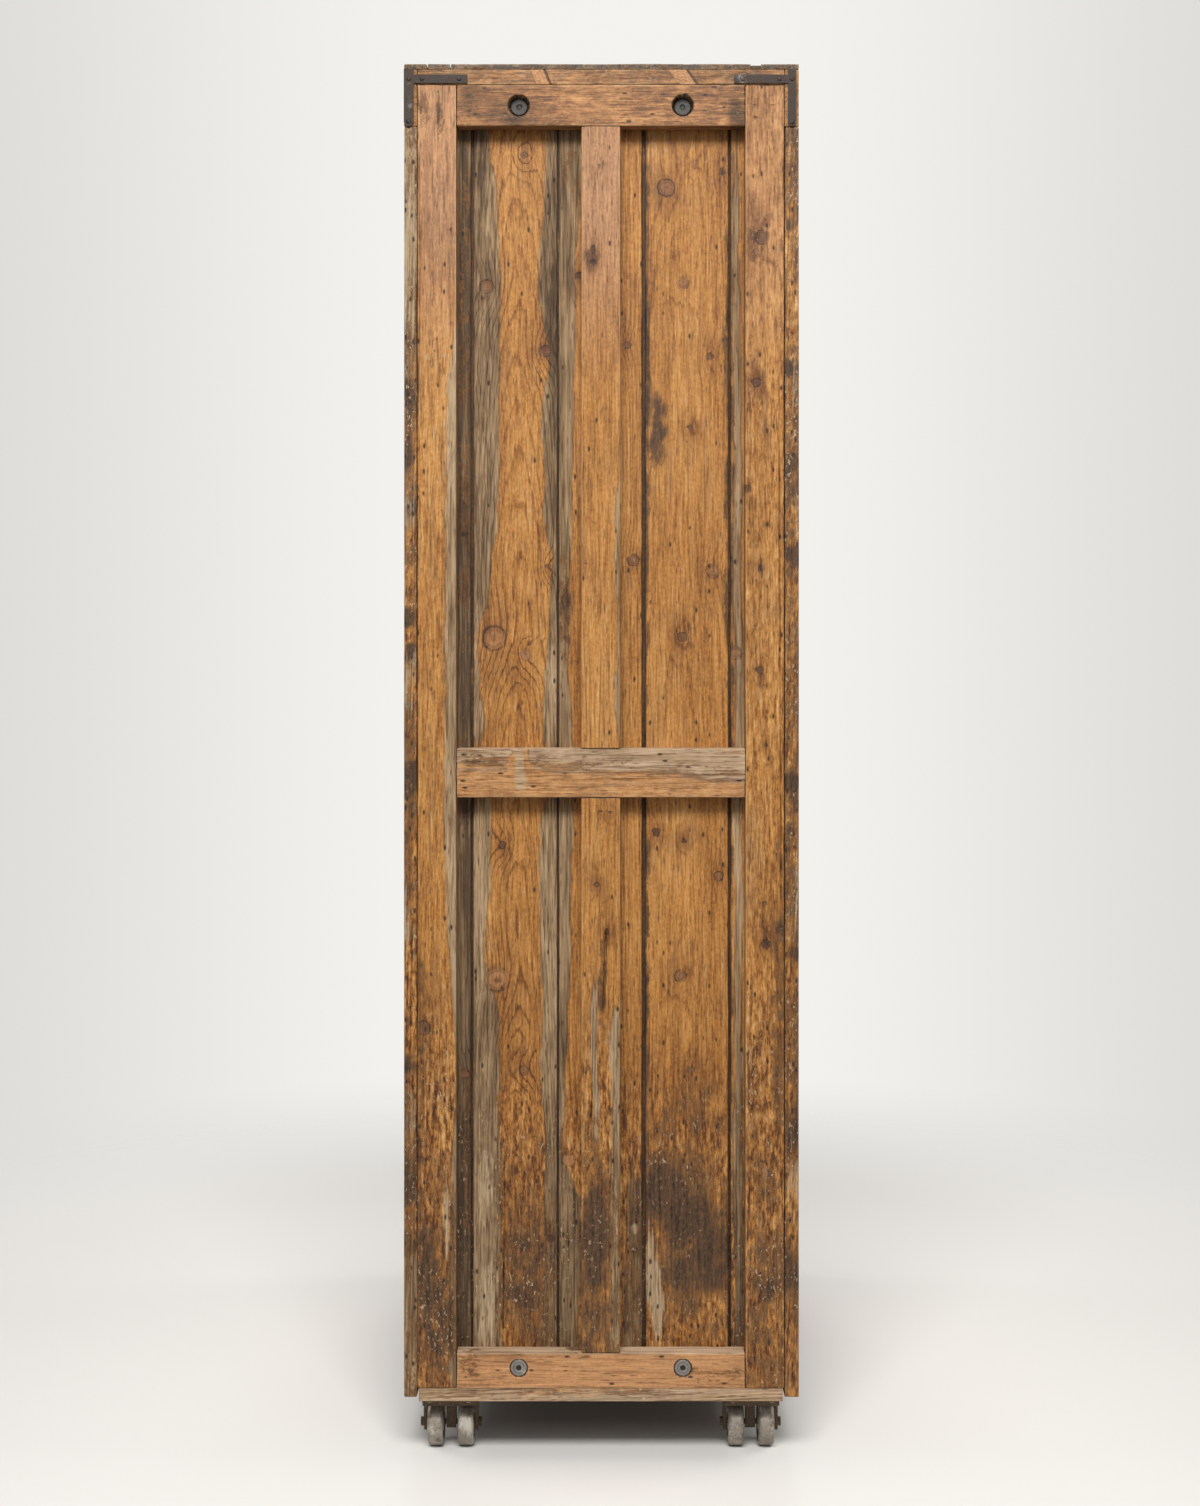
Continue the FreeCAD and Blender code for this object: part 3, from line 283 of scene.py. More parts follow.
class Plank:
    """One board: a closed lattice with worn edges, and notes on grain and weather at its points."""

    def __init__(self, low, high, along, seed, **look):
        self.low = np.array(low, float)
        self.high = np.array(high, float)
        self.size = self.high - self.low
        self.along = along
        self.seed = seed
        self.look = SimpleNamespace(**{**PLAIN_LOOK, **look})
        self.marks = {**NO_MARKS, **self.look.marks}
        others = [axis for axis in range(3) if axis != along]
        self.across, self.depth = sorted(others, key=lambda axis: -self.size[axis])
        self.places, self.quads = shell(self.lattice())
        self.s, self.t = (self.places[:, axis] for axis in self.look.sheet)
        self.front = self.places[:, self.depth] > self.high[self.depth] - ON_FACE

    def lattice(self):
        """Lattice lines along each axis, with more of them at holes and splits."""
        cell = self.look.cell
        spacing = {self.along: 1.6 * cell, self.across: cell, self.depth: 2.0 * cell}
        extra = {X: [], Y: [], Z: []}
        s_axis, t_axis = self.look.sheet
        for middle_s, middle_t, radius, _ in self.marks["holes"]:
            extra[s_axis].extend(middle_s + HOLE_LINES * radius)
            extra[t_axis].extend(middle_t + HOLE_LINES * radius)
        for rows, half_width, _ in self.marks["splits"]:
            heights, middles = np.array(sorted(rows)).T
            for height in np.linspace(heights[0], heights[-1], SPLIT_LINES):
                middle = np.interp(height, heights, middles)
                extra[s_axis].extend([middle - half_width, middle, middle + half_width])
        return [
            grid_lines(self.low[axis], self.high[axis], spacing[axis], self.look.radius, extra[axis])
            for axis in (X, Y, Z)
        ]

    def noise(self, name):
        step, across, along = PLANK_NOISES[name]
        size = np.full(3, across)
        size[self.along] = along
        return noise(self.places, size, self.seed + step)

    def in_hole(self, hole, reach=1.0):
        middle_s, middle_t, radius, _ = hole
        return self.front & (np.hypot(self.s - middle_s, self.t - middle_t) < reach * radius)

    def worn_places(self):
        """The points with edges rounded here more, there less, waving faces, splits and holes."""
        chipped = smooth(*CHIPPED, self.noise("chips"))
        round_off = LEAST_ROUND + WANDER_ROUND * self.noise("wander") + CHIP_ROUND * chipped
        round_off = np.minimum(self.look.radius * round_off, self.size.min() * MOST_ROUND)[:, None]
        core = np.clip(self.places, self.low + round_off, self.high - round_off)
        out = self.places - core
        length = np.linalg.norm(out, axis=1, keepdims=True)
        normal = out / np.maximum(length, 1e-9)
        worn = core + normal * np.minimum(length, round_off)
        sink = WAVE_DEEP * self.noise("waves")
        if self.depth not in self.look.sheet:
            sink += np.where(self.front, split_depth(self.marks["splits"], self.s, self.t), 0.0)
        for hole in self.marks["holes"]:
            deep = hole[-1]
            sink = np.where(self.in_hole(hole), deep, sink)
        worn -= normal * np.minimum(sink, self.size[self.depth] * MOST_SUNK)[:, None]
        if self.look.lean is not None:
            axis, by = self.look.lean
            worn[:, axis] += by * (self.high[Z] - worn[:, Z]) / self.size[Z]
        return worn

    def grain(self):
        """Rings round a pith that drifts along the board, and each point's place in the grain."""
        pith = self.look.pith
        if pith is None:
            dice = np.random.default_rng(self.seed)
            pith_side = dice.uniform(*PITH_ASIDE) * self.size[self.across]
            pith = (pith_side, dice.uniform(*PITH_BELOW) * MM, dice.uniform(*PITH_SLOPE))
        pith_side, pith_deep, pith_slope = pith
        run = self.places[:, self.along] - self.low[self.along]
        side = self.places[:, self.across] - (self.low[self.across] + self.high[self.across]) / 2
        down = self.high[self.depth] - self.places[:, self.depth] + pith_deep + pith_slope * run
        sway = SWAY * (self.noise("sway") - 0.5)
        phase = np.hypot(side - pith_side - sway, down) / self.look.ring + self.seed % RING_STARTS
        grain_start = GRAIN_START_STEP * (self.seed % GRAIN_STARTS)
        return phase[:, None], np.stack([side + grain_start, run, down], 1)

    def knots(self):
        """Squared way to the nearest knot, in its radii across and along the grain, and its darkness."""
        nearest = np.full(len(self.places), FAR_OFF)
        knot = np.tile([FAR_OFF, FAR_OFF, 0.0], (len(self.places), 1))
        for middle_s, middle_t, radius, dark in self.marks["knots"]:
            way = (np.stack([self.s - middle_s, self.t - middle_t], 1) / radius) ** 2
            if self.look.sheet[0] == self.along:
                way = way[:, ::-1]
            far = way.sum(axis=1)
            nearer = far < nearest
            knot[nearer] = np.column_stack([way, np.full(len(way), dark)])[nearer]
            nearest = np.minimum(nearest, far)
        return knot

    def edges(self):
        """Half on plain faces, nearly 1 at rubbed edges and nearly 0 at dirty joints."""
        from_sides = np.minimum(self.places - self.low, self.high - self.places)
        from_edge = np.sort(from_sides, axis=1)[:, 1]
        rubbed = 1.0 - smooth(*RUBBED_REACH, from_edge)
        dirty = np.zeros(len(self.places))
        for axis, at_high in self.look.joints:
            joint = self.high[axis] if at_high else self.low[axis]
            from_joint = np.abs(self.places[:, axis] - joint)
            dirty = np.maximum(dirty, 1.0 - smooth(*JOINT_DIRT_REACH, from_joint))
        return 0.5 + 0.5 * rubbed * (1.0 - dirty) - 0.5 * dirty

    def weather(self):
        """Two notes: grey, stain with painted shade, bare wood and edge, and pink, brightness, pits and
        rings.
        """
        look = self.look
        count = len(self.places)
        height = self.places[:, Z]
        patches = self.noise("patches")
        jitter = FINE_JITTER * (self.noise("fine_jitter") - 0.5)
        jitter += BROAD_JITTER * (self.noise("broad_jitter") - 0.5)
        s = self.s + jitter
        t = self.t + JITTER_ALONG * jitter
        exposed = np.ones(count)
        if look.end_only is not None:
            exposed -= SHELTERED * smooth(0.0, look.end_only, self.high[X] - self.places[:, X])
        dusted = look.dusty * (height > self.high[Z] - ON_FACE)
        greyed = np.clip(look.grey * (STREAK_GREY_LEAST + STREAK_GREY * self.noise("streaks")), 0, 1)
        greyed = np.maximum(greyed, exposed * strip_field(self.marks["grey"], s, self.t))
        greyed = np.maximum(greyed, dusted)
        stained = np.clip(look.stain * (PATCH_STAIN_AND_SHADE_LEAST + patches), 0, 1)
        stained = exposed * np.maximum(stained, oval_field(self.marks["stain"], s, t))
        # Painted shade: the underside of the board is darkened
        stained = np.maximum(stained, look.sooty * (height < self.low[Z] + ON_FACE))
        # The sunk floor of each hole is painted near black: painted shade in the hole
        for hole in self.marks["holes"]:
            stained = np.where(self.in_hole(hole, HOLE_SHADE_REACH), PAINTED_SHADE_DARK, stained)
        bared = exposed * oval_field(self.marks["bare"], s, t)
        pinked = look.pink(self.places) if callable(look.pink) else np.full(count, look.pink)
        # Darker and more pitted towards the bottom
        near_floor = 1.0 - smooth(*LOWER_PART_HEIGHTS, height)
        brightened = look.bright + PATCH_BRIGHT * (patches - 0.5) - DARKER_LOW * near_floor
        brightened += DUST_BRIGHT * dusted
        brightened = np.clip(brightened - oval_field(self.marks["dim"], s, t), 0, 1)
        pitted = np.clip(exposed * look.pits + PITTED_LOW * near_floor, 0, 1)
        tone = np.stack([greyed, stained, bared, self.edges()], 1)
        shade = np.stack([pinked, brightened, pitted, np.full(count, look.rings)], 1)
        return tone, shade

    def part(self):
        phase, lay = self.grain()
        tone, shade = self.weather()
        return {
            "places": self.worn_places(),
            "quads": self.quads,
            "phase": phase,
            "lay": lay,
            "tone": tone,
            "shade": shade,
            "knot": self.knots(),
            "slot": 0,
        }


def plank(low, high, along, seed, slot=0, **look):
    """A plank's points, faces and notes, ready to go into a piece."""
    part = Plank(low, high, along, seed, **look).part()
    part["slot"] = slot
    return part


def plain_part(places, faces, slot):
    """A part without wood notes, for iron that shares a piece with wood."""
    count = len(places)
    return {
        "places": np.asarray(places, float),
        "quads": np.asarray(faces),
        "phase": np.zeros((count, 1)),
        "lay": np.zeros((count, 3)),
        "tone": np.zeros((count, 4)),
        "shade": np.zeros((count, 4)),
        "knot": np.full((count, 3), FAR_OFF),
        "slot": slot,
    }


NOTE_KINDS = {
    "phase": ("FLOAT", "value"),
    "lay": ("FLOAT_VECTOR", "vector"),
    "tone": ("FLOAT_COLOR", "color"),
    "shade": ("FLOAT_COLOR", "color"),
    "knot": ("FLOAT_VECTOR", "vector"),
}


def add_to_scene(name, data):
    made = bpy.data.objects.new(name, data)
    bpy.context.scene.collection.objects.link(made)
    return made


def make_piece(name, parts, materials, body, nodes):
    """One Blender object from plank and plain parts, riding on a body and standing for CAD nodes."""
    starts = np.cumsum([0] + [len(part["places"]) for part in parts])
    places = np.concatenate([part["places"] for part in parts])
    quads = np.concatenate([part["quads"] + start for part, start in zip(parts, starts)])
    slots = np.concatenate([np.full(len(part["quads"]), part["slot"]) for part in parts])
    mesh = bpy.data.meshes.new(name)
    mesh.from_pydata(places.tolist(), [], quads.tolist())
    for key, (kind, field) in NOTE_KINDS.items():
        values = np.concatenate([part[key] for part in parts])
        layer = mesh.attributes.new(key, kind, "POINT")
        layer.data.foreach_set(field, values.astype(np.float32).ravel())
    mesh.polygons.foreach_set("material_index", slots.astype(np.int32))
    mesh.polygons.foreach_set("use_smooth", np.ones(len(quads), bool))
    for material in materials:
        mesh.materials.append(material)
    mesh.update()
    piece = add_to_scene(name, mesh)
    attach(piece, body)
    if nodes:
        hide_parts(*nodes)


# Materials
SPECULAR = 0.3
PLAIN_ROUGHNESS = 0.55
# Numbers of the colour sockets of a mix node
MIX_FIRST, MIX_SECOND, MIX_RESULT = 6, 7, 2


def dimmed(colour, share):
    return tuple(share * part for part in colour)


class Tree:
    """Short names for building the nodes of one material or world."""

    def __init__(self, owner):
        owner.use_nodes = True
        self.nodes = owner.node_tree.nodes
        self.links = owner.node_tree.links

    def put(self, socket, value):
        if isinstance(value, bpy.types.NodeSocket):
            self.links.new(value, socket)
        else:
            socket.default_value = value

    def node(self, kind, *values, **settings):
        made = self.nodes.new(kind)
        for key, value in settings.items():
            setattr(made, key, value)
        for socket, value in zip(made.inputs, values):
            self.put(socket, value)
        return made

    def maths(self, operation, *values):
        return self.node("ShaderNodeMath", *values, operation=operation).outputs[0]

    def most(self, *values):
        return self.chain("MAXIMUM", values)

    def add(self, *values):
        return self.chain("ADD", values)

    def times(self, *values):
        return self.chain("MULTIPLY", values)

    def chain(self, operation, values):
        total = values[0]
        for value in values[1:]:
            total = self.maths(operation, total, value)
        return total

    def line(self, value, factor, offset):
        return self.maths("MULTIPLY_ADD", value, factor, offset)

    def swing(self, value, amount):
        """A 0 to 1 value turned into one that swings round zero."""
        return self.line(value, amount, -0.5 * amount)

    def flip(self, value):
        return self.maths("SUBTRACT", 1.0, value)

    def fade(self, value, low, high):
        made = self.node("ShaderNodeMapRange", value, low, high, interpolation_type="SMOOTHSTEP")
        return made.outputs[0]

    def fade_out(self, value, low, high):
        return self.flip(self.fade(value, low, high))

    def stretch(self, vector, factors):
        return self.node("ShaderNodeVectorMath", vector, factors, operation="MULTIPLY").outputs[0]

    def length(self, vector):
        return self.node("ShaderNodeVectorMath", vector, operation="LENGTH").outputs["Value"]

    def noise(self, vector, factors, detail=3.0, roughness=PLAIN_ROUGHNESS):
        made = self.node("ShaderNodeTexNoise")
        self.put(made.inputs["Vector"], self.stretch(vector, factors))
        made.inputs["Scale"].default_value = 1.0
        made.inputs["Detail"].default_value = detail
        made.inputs["Roughness"].default_value = roughness
        return made.outputs["Fac"]

    def even_noise(self, vector, factor, detail, roughness=PLAIN_ROUGHNESS):
        """Noise that changes as often in every direction."""
        return self.noise(vector, (factor, factor, factor), detail, roughness)

    def cells(self, vector, factors):
        """Voronoi cells: distance from each cell's middle, and a random number for each cell."""
        made = self.node("ShaderNodeTexVoronoi")
        self.put(made.inputs["Vector"], self.stretch(vector, factors))
        made.inputs["Scale"].default_value = 1.0
        number = self.node("ShaderNodeSeparateColor", made.outputs["Color"]).outputs[0]
        return made.outputs["Distance"], number

    def ramp(self, value, stops):
        made = self.node("ShaderNodeValToRGB", value)
        elements = made.color_ramp.elements
        while len(elements) < len(stops):
            elements.new(0.5)
        for element, (position, colour) in zip(elements, stops):
            element.position = position
            element.color = (*colour, 1.0)
        return made.outputs[0]

    def blend(self, share, first, second, mode="MIX"):
        made = self.node("ShaderNodeMix", share, data_type="RGBA", blend_type=mode)
        for socket, value in ((MIX_FIRST, first), (MIX_SECOND, second)):
            colour = value if isinstance(value, bpy.types.NodeSocket) else (*value, 1.0)
            self.put(made.inputs[socket], colour)
        return made.outputs[MIX_RESULT]


class Surface(Tree):
    """One material, with a Principled shader of low shine."""

    def __init__(self, name):
        self.material = bpy.data.materials.new(name)
        super().__init__(self.material)
        self.shader = self.nodes["Principled BSDF"]
        self.shader.inputs["Specular IOR Level"].default_value = SPECULAR

    def place(self):
        return self.node("ShaderNodeTexCoord").outputs["Object"]

    def finish(self, colour, rough, height, strength=0.4, distance=0.8 * MM):
        bump = self.node("ShaderNodeBump")
        bump.inputs["Strength"].default_value = strength
        bump.inputs["Distance"].default_value = distance
        self.put(bump.inputs["Height"], height)
        self.put(self.shader.inputs["Base Color"], colour)
        self.put(self.shader.inputs["Roughness"], rough)
        self.put(self.shader.inputs["Normal"], bump.outputs[0])
        return self.material


WOOD_LOOKS = {
    "aged_pine": {
        "wood": [
            (0.0, (0.085, 0.03, 0.009)),
            (0.25, (0.21, 0.081, 0.018)),
            (0.45, (0.345, 0.146, 0.033)),
            (0.6, (0.435, 0.2, 0.05)),
            (0.8, (0.52, 0.27, 0.09)),
            (1.0, (0.61, 0.36, 0.15)),
        ],
        "pink": (0.5, 0.265, 0.14),
    },
    "cap_wood": {
        "wood": [
            (0.0, (0.018, 0.013, 0.01)),
            (0.35, (0.045, 0.035, 0.029)),
            (0.65, (0.08, 0.065, 0.056)),
            (1.0, (0.19, 0.157, 0.132)),
        ],
        "pink": (0.22, 0.16, 0.12),
    },
    "case_wood": {
        "wood": [
            (0.0, (0.075, 0.028, 0.01)),
            (0.25, (0.16, 0.062, 0.02)),
            (0.45, (0.275, 0.118, 0.036)),
            (0.6, (0.355, 0.163, 0.053)),
            (0.8, (0.43, 0.215, 0.08)),
            (1.0, (0.5, 0.28, 0.12)),
        ],
        "pink": (0.38, 0.2, 0.1),
    },
}
# Each grain noise: how often it changes in a metre across and along the grain, its detail and roughness
GRAINS = {
    "fibre": (520.0, 16.0, 3.0, 0.65),
    "thread": (270.0, 7.0, 3.0, 0.65),
    "hair": (330.0, 6.0, 2.0, PLAIN_ROUGHNESS),
    "vein": (150.0, 4.0, 4.0, 0.65),
    "streak": (120.0, 2.6, 4.0, 0.6),
    "broad": (22.0, 1.7, 3.0, PLAIN_ROUGHNESS),
    "mottle": (22.0, 11.0, 8.0, 0.72),
    "blotch": (90.0, 42.0, 5.0, 0.65),
    "grit": (280.0, 180.0, 3.0, 0.7),
    "flake": (170.0, 48.0, 4.0, 0.7),
    "fleck": (300.0, 150.0, 2.0, PLAIN_ROUGHNESS),
}
# How far each grain noise moves a value up and down
RING_SWINGS = {"streak": 0.9, "thread": 0.4}
LEVEL_SWINGS = {"streak": 0.58, "thread": 0.62, "broad": 0.5, "mottle": 0.6, "fibre": 0.95, "grit": 0.75}
FLAKE_SWING = 3.4
EDGE_SWINGS = {"fibre": 0.35, "blotch": 0.5}
GREY_SWINGS = {"streak": 0.45, "fibre": 0.25}
STAIN_AND_SHADE_SWINGS = {"mottle": 1.8, "blotch": 1.2, "flake": 1.1, "grit": 1.1}
BARE_SWINGS = {"blotch": 0.8, "thread": 0.9}
KNOT_SWINGS = {"grit": 0.2, "blotch": 0.5, "mottle": 0.6}
# How much of each grain noise goes into a value
SILVER_SHARES = {"streak": 0.5, "thread": 0.45, "fibre": 0.4}
GRIME_SHARES = {"mottle": 0.6, "streak": 0.5}
DULL_SHARES = {"grit": 0.5, "thread": 0.5}
BARE_SHARES = {"fibre": 0.6, "thread": 0.4}
# Colours, and tints that a colour is multiplied by
RUBBED_COLOUR = (0.5, 0.34, 0.19)
DIRT_COLOUR = (0.03, 0.018, 0.011)
SILVER_RAMP = [
    (0.25, (0.055, 0.037, 0.022)),
    (0.4, (0.2, 0.133, 0.07)),
    (0.55, (0.37, 0.26, 0.15)),
    (0.8, (0.6, 0.47, 0.325)),
]
SILVER_PINK_TINT = (1.0, 0.9, 0.92)
GREY_BORDER_TINT = (0.36, 0.31, 0.28)
PALE_HAIR_TINT = (1.3, 1.3, 1.3)
DARK_HAIR_TINT = (0.44, 0.36, 0.31)
VEIN_TINT = (0.4, 0.32, 0.27)
GRIME_TINT = (0.5, 0.43, 0.38)
BROWN_RAMP = [(0.38, (0.036, 0.019, 0.01)), (0.64, (0.25, 0.11, 0.031))]
TAR_AND_SHADE_RAMP = [(0.4, (0.009, 0.006, 0.004)), (0.64, (0.105, 0.053, 0.025))]
BARE_DARK_COLOUR = (0.16, 0.11, 0.06)
BARE_PALE_COLOUR = (0.56, 0.42, 0.26)
KNOT_HEART_COLOUR = (0.46, 0.235, 0.105)
KNOT_RING_TINT = (0.48, 0.34, 0.26)
KNOT_PITH_COLOUR = (0.07, 0.03, 0.016)
KNOT_DARK_COLOUR = (0.04, 0.018, 0.011)
KNOT_RIM_COLOUR = (0.035, 0.016, 0.009)
KNOT_HALO_TINT = (0.36, 0.25, 0.23)
PIT_COLOUR = (0.018, 0.009, 0.006)
DASH_COLOUR = (0.08, 0.032, 0.013)
FLECK_COLOUR = (0.5, 0.36, 0.23)
# Sizes of knots, worm pits and dashes in the grain
KNOT_STRETCH = 1.7
KNOT_SPREAD = 2.3
KNOT_LIFT = 4.0
KNOT_RINGS = 4.2
PIT_CELLS = (105.0, 46.0, 105.0)
DASH_CELLS = (300.0, 45.0, 300.0)


class AgedWood(Surface):
    """Old softwood: rings and fibres, grey weathering, dark stains, knots, worm pits and rubbed edges."""

    def __init__(self, name):
        super().__init__(name)
        self.look = WOOD_LOOKS[name]
        self.lay = self.notes("lay").outputs["Vector"]
        self.phase = self.notes("phase").outputs["Fac"]
        self.greyed, self.stained, self.bared, self.edged = self.four_notes("tone")
        self.pinked, self.brightened, self.pits, self.ringed = self.four_notes("shade")
        knot = self.node("ShaderNodeSeparateXYZ", self.notes("knot").outputs["Vector"])
        self.knot_side, self.knot_run, self.knot_dark = knot.outputs
        for grain, (across, along, detail, roughness) in GRAINS.items():
            setattr(self, grain, self.noise(self.lay, (across, along, across), detail, roughness))
        self.layer_rings()
        self.layer_edges()
        self.layer_grey()
        self.layer_lines()
        self.layer_stains_and_shade()
        self.layer_bare()
        self.layer_knots()
        self.layer_pits()
        height = self.add(
            self.times(self.fibre, 0.5),
            self.times(self.thread, 0.3),
            self.times(self.late, self.ringed, 0.2),
            self.times(self.pit, -1.0),
            self.times(self.dash, -0.4),
            self.times(self.grit, 0.2),
            self.times(self.heart, self.knot_dark, -0.8),
        )
        rough = self.add(self.times(self.greyness, 0.16), self.times(self.fibre, 0.22), 0.47)
        self.finish(self.colour, rough, height)

    def notes(self, name):
        return self.node("ShaderNodeAttribute", attribute_name=name)

    def four_notes(self, name):
        noted = self.notes(name)
        split = self.node("ShaderNodeSeparateColor", noted.outputs["Color"])
        return *split.outputs, noted.outputs["Alpha"]

    def swung(self, start, swings):
        return self.add(start, *(self.swing(getattr(self, grain), by) for grain, by in swings.items()))

    def mixed(self, shares):
        return self.add(*(self.times(getattr(self, grain), share) for grain, share in shares.items()))

    def cover(self, share, colour):
        self.colour = self.blend(share, self.colour, colour)

    def tint(self, share, colour):
        self.colour = self.blend(share, self.colour, colour, "MULTIPLY")

    def layer_rings(self):
        """Growth rings bend round the knots, and each ends in a thin dark late line."""
        wide = self.add(self.knot_side, self.times(self.knot_run, 1.0 / KNOT_STRETCH**2))
        self.lift = self.maths("POWER", math.e, self.times(wide, -1.0 / KNOT_SPREAD**2))
        bent = self.add(self.phase, self.times(self.lift, self.ringed, KNOT_LIFT))
        place = self.maths("FRACT", self.swung(bent, RING_SWINGS))
        self.late = self.times(self.fade(place, 0.66, 0.9), self.fade_out(place, 0.93, 1.0))
        shown = self.times(self.ringed, self.add(self.broad, self.times(self.lift, 0.8), 0.15))
        level = self.add(
            self.swung(self.line(self.brightened, 0.55, 0.28), LEVEL_SWINGS),
            self.times(self.swing(self.flake, FLAKE_SWING), self.fade(self.pits, 0.45, 1.0)),
            self.times(self.late, shown, -0.5),
        )
        self.colour = self.ramp(level, self.look["wood"])
        pink = self.look["pink"]
        pink_wood = self.blend(self.fade(level, 0.05, 0.85), dimmed(pink, 0.4), pink)
        self.cover(self.times(self.pinked, 0.8), pink_wood)

    def layer_edges(self):
        """Rubbed edges show paler wood, dirty edges are dark."""
        ragged = self.swung(self.edged, EDGE_SWINGS)
        self.cover(self.times(self.fade(ragged, 0.78, 1.0), 0.45), RUBBED_COLOUR)
        dirt = self.times(self.fade_out(ragged, 0.08, 0.38), self.fade(self.mottle, 0.3, 0.56))
        self.cover(self.times(dirt, 0.9), DIRT_COLOUR)

    def layer_grey(self):
        """Grey weathered strips with fairly sharp edges and a broken dark border."""
        self.greyness = self.fade(self.swung(self.greyed, GREY_SWINGS), 0.46, 0.56)
        rings = self.times(self.late, self.ringed, -0.15)
        level = self.add(self.mixed(SILVER_SHARES), rings, self.line(self.brightened, 0.6, -0.48))
        silver = self.ramp(level, SILVER_RAMP)
        silver = self.blend(self.times(self.pinked, 0.7), silver, SILVER_PINK_TINT, "MULTIPLY")
        self.cover(self.times(self.greyness, 0.92), silver)
        broken = self.fade(self.mottle, 0.36, 0.56)
        self.tint(self.times(self.greyness, self.flip(self.greyness), 3.2, broken), GREY_BORDER_TINT)

    def layer_lines(self):
        """Hairlines along the grain, dark veins, and thin grime in patches and streaks."""
        self.tint(self.times(self.fade_out(self.hair, 0.34, 0.45), 0.5), PALE_HAIR_TINT)
        lined = self.most(self.pits, self.times(self.greyness, 0.75))
        dark_hair = self.times(self.fade(self.hair, 0.57, 0.66), self.line(lined, 0.5, 0.35))
        self.tint(dark_hair, DARK_HAIR_TINT)
        dark_vein = self.times(self.fade(self.vein, 0.57, 0.68), self.line(lined, 0.9, -0.1))
        self.tint(dark_vein, VEIN_TINT)
        grimy = self.add(self.mixed(GRIME_SHARES), self.times(self.pits, 0.12))
        self.tint(self.times(self.fade(grimy, 0.56, 0.78), 0.85), GRIME_TINT)

    def layer_stains_and_shade(self):
        """Dark stains and painted shade, which break up into specks at their edges."""
        spotty = self.swung(self.stained, STAIN_AND_SHADE_SWINGS)
        touched = self.fade(self.stained, 0.02, 0.25)
        dull = self.mixed(DULL_SHARES)
        browned = self.times(self.fade(spotty, 0.34, 0.5), touched)
        self.cover(self.times(browned, 0.8), self.ramp(dull, BROWN_RAMP))
        blackened = self.times(self.fade(spotty, 0.56, 0.8), touched)
        self.cover(self.times(blackened, 0.85), self.ramp(dull, TAR_AND_SHADE_RAMP))

    def layer_bare(self):
        """Bare scuffed patches."""
        bare = self.fade(self.swung(self.bared, BARE_SWINGS), 0.34, 0.66)
        pale = self.fade(self.mixed(BARE_SHARES), 0.3, 0.7)
        self.cover(self.times(bare, 0.75), self.blend(pale, BARE_DARK_COLOUR, BARE_PALE_COLOUR))

    def layer_knots(self):
        """A broken dark rim and faint rings round a paler heart with a dark pith."""
        far = self.maths("SQRT", self.add(self.knot_side, self.knot_run))
        ragged = self.swung(far, KNOT_SWINGS)
        self.heart = self.fade_out(ragged, 0.7, 0.95)
        self.cover(self.times(self.heart, 0.55), KNOT_HEART_COLOUR)
        ring = self.fade(self.maths("PINGPONG", self.times(ragged, KNOT_RINGS), 1.0), 0.45, 0.8)
        self.tint(self.times(self.heart, ring, 0.55), KNOT_RING_TINT)
        self.cover(self.times(self.fade_out(ragged, 0.1, 0.26), 0.75), KNOT_PITH_COLOUR)
        self.cover(self.times(self.heart, self.knot_dark, 0.9), KNOT_DARK_COLOUR)
        rim = self.times(self.fade(ragged, 0.78, 0.9), self.fade_out(ragged, 0.94, 1.12))
        self.cover(self.times(rim, self.fade(self.mottle, 0.36, 0.56), 0.9), KNOT_RIM_COLOUR)
        broken = self.fade(self.mottle, 0.38, 0.6)
        self.tint(self.times(self.lift, broken, self.line(self.knot_dark, 0.5, 0.4)), KNOT_HALO_TINT)

    def layer_pits(self):
        """Worm pits and short dark dashes, and pale flecks where the wood is rough."""
        far, number = self.cells(self.lay, PIT_CELLS)
        chosen = self.maths("LESS_THAN", number, self.times(self.pits, 0.42))
        self.pit = self.times(self.fade_out(far, 0.09, 0.27), chosen)
        self.cover(self.times(self.pit, 0.92), PIT_COLOUR)
        far, number = self.cells(self.lay, DASH_CELLS)
        chosen = self.maths("LESS_THAN", number, self.line(self.pits, 0.35, 0.15))
        self.dash = self.times(self.fade_out(far, 0.1, 0.45), chosen)
        self.cover(self.times(self.dash, 0.65), DASH_COLOUR)
        flecked = self.times(
            self.fade(self.fleck, 0.61, 0.67),
            self.fade(self.mottle, 0.46, 0.6),
            self.fade(self.pits, 0.55, 0.95),
        )
        self.cover(self.times(flecked, 0.75), FLECK_COLOUR)


# Each iron: the colours of its dark skin, rust and worn spots, and its shares of rust and of rubbing
IRON_LOOKS = {
    "strap_iron": ((0.038, 0.032, 0.029), (0.085, 0.05, 0.033), (0.17, 0.145, 0.13), 0.4, 0.2),
    "caster_iron": ((0.09, 0.068, 0.047), (0.19, 0.112, 0.06), (0.3, 0.24, 0.18), 0.5, 0.25),
    "wheel_iron": ((0.36, 0.315, 0.265), (0.16, 0.11, 0.072), (0.56, 0.515, 0.455), 0.32, 0.55),
    "bolt_steel": ((0.3, 0.28, 0.25), (0.14, 0.09, 0.06), (0.45, 0.42, 0.38), 0.2, 0.4),
}


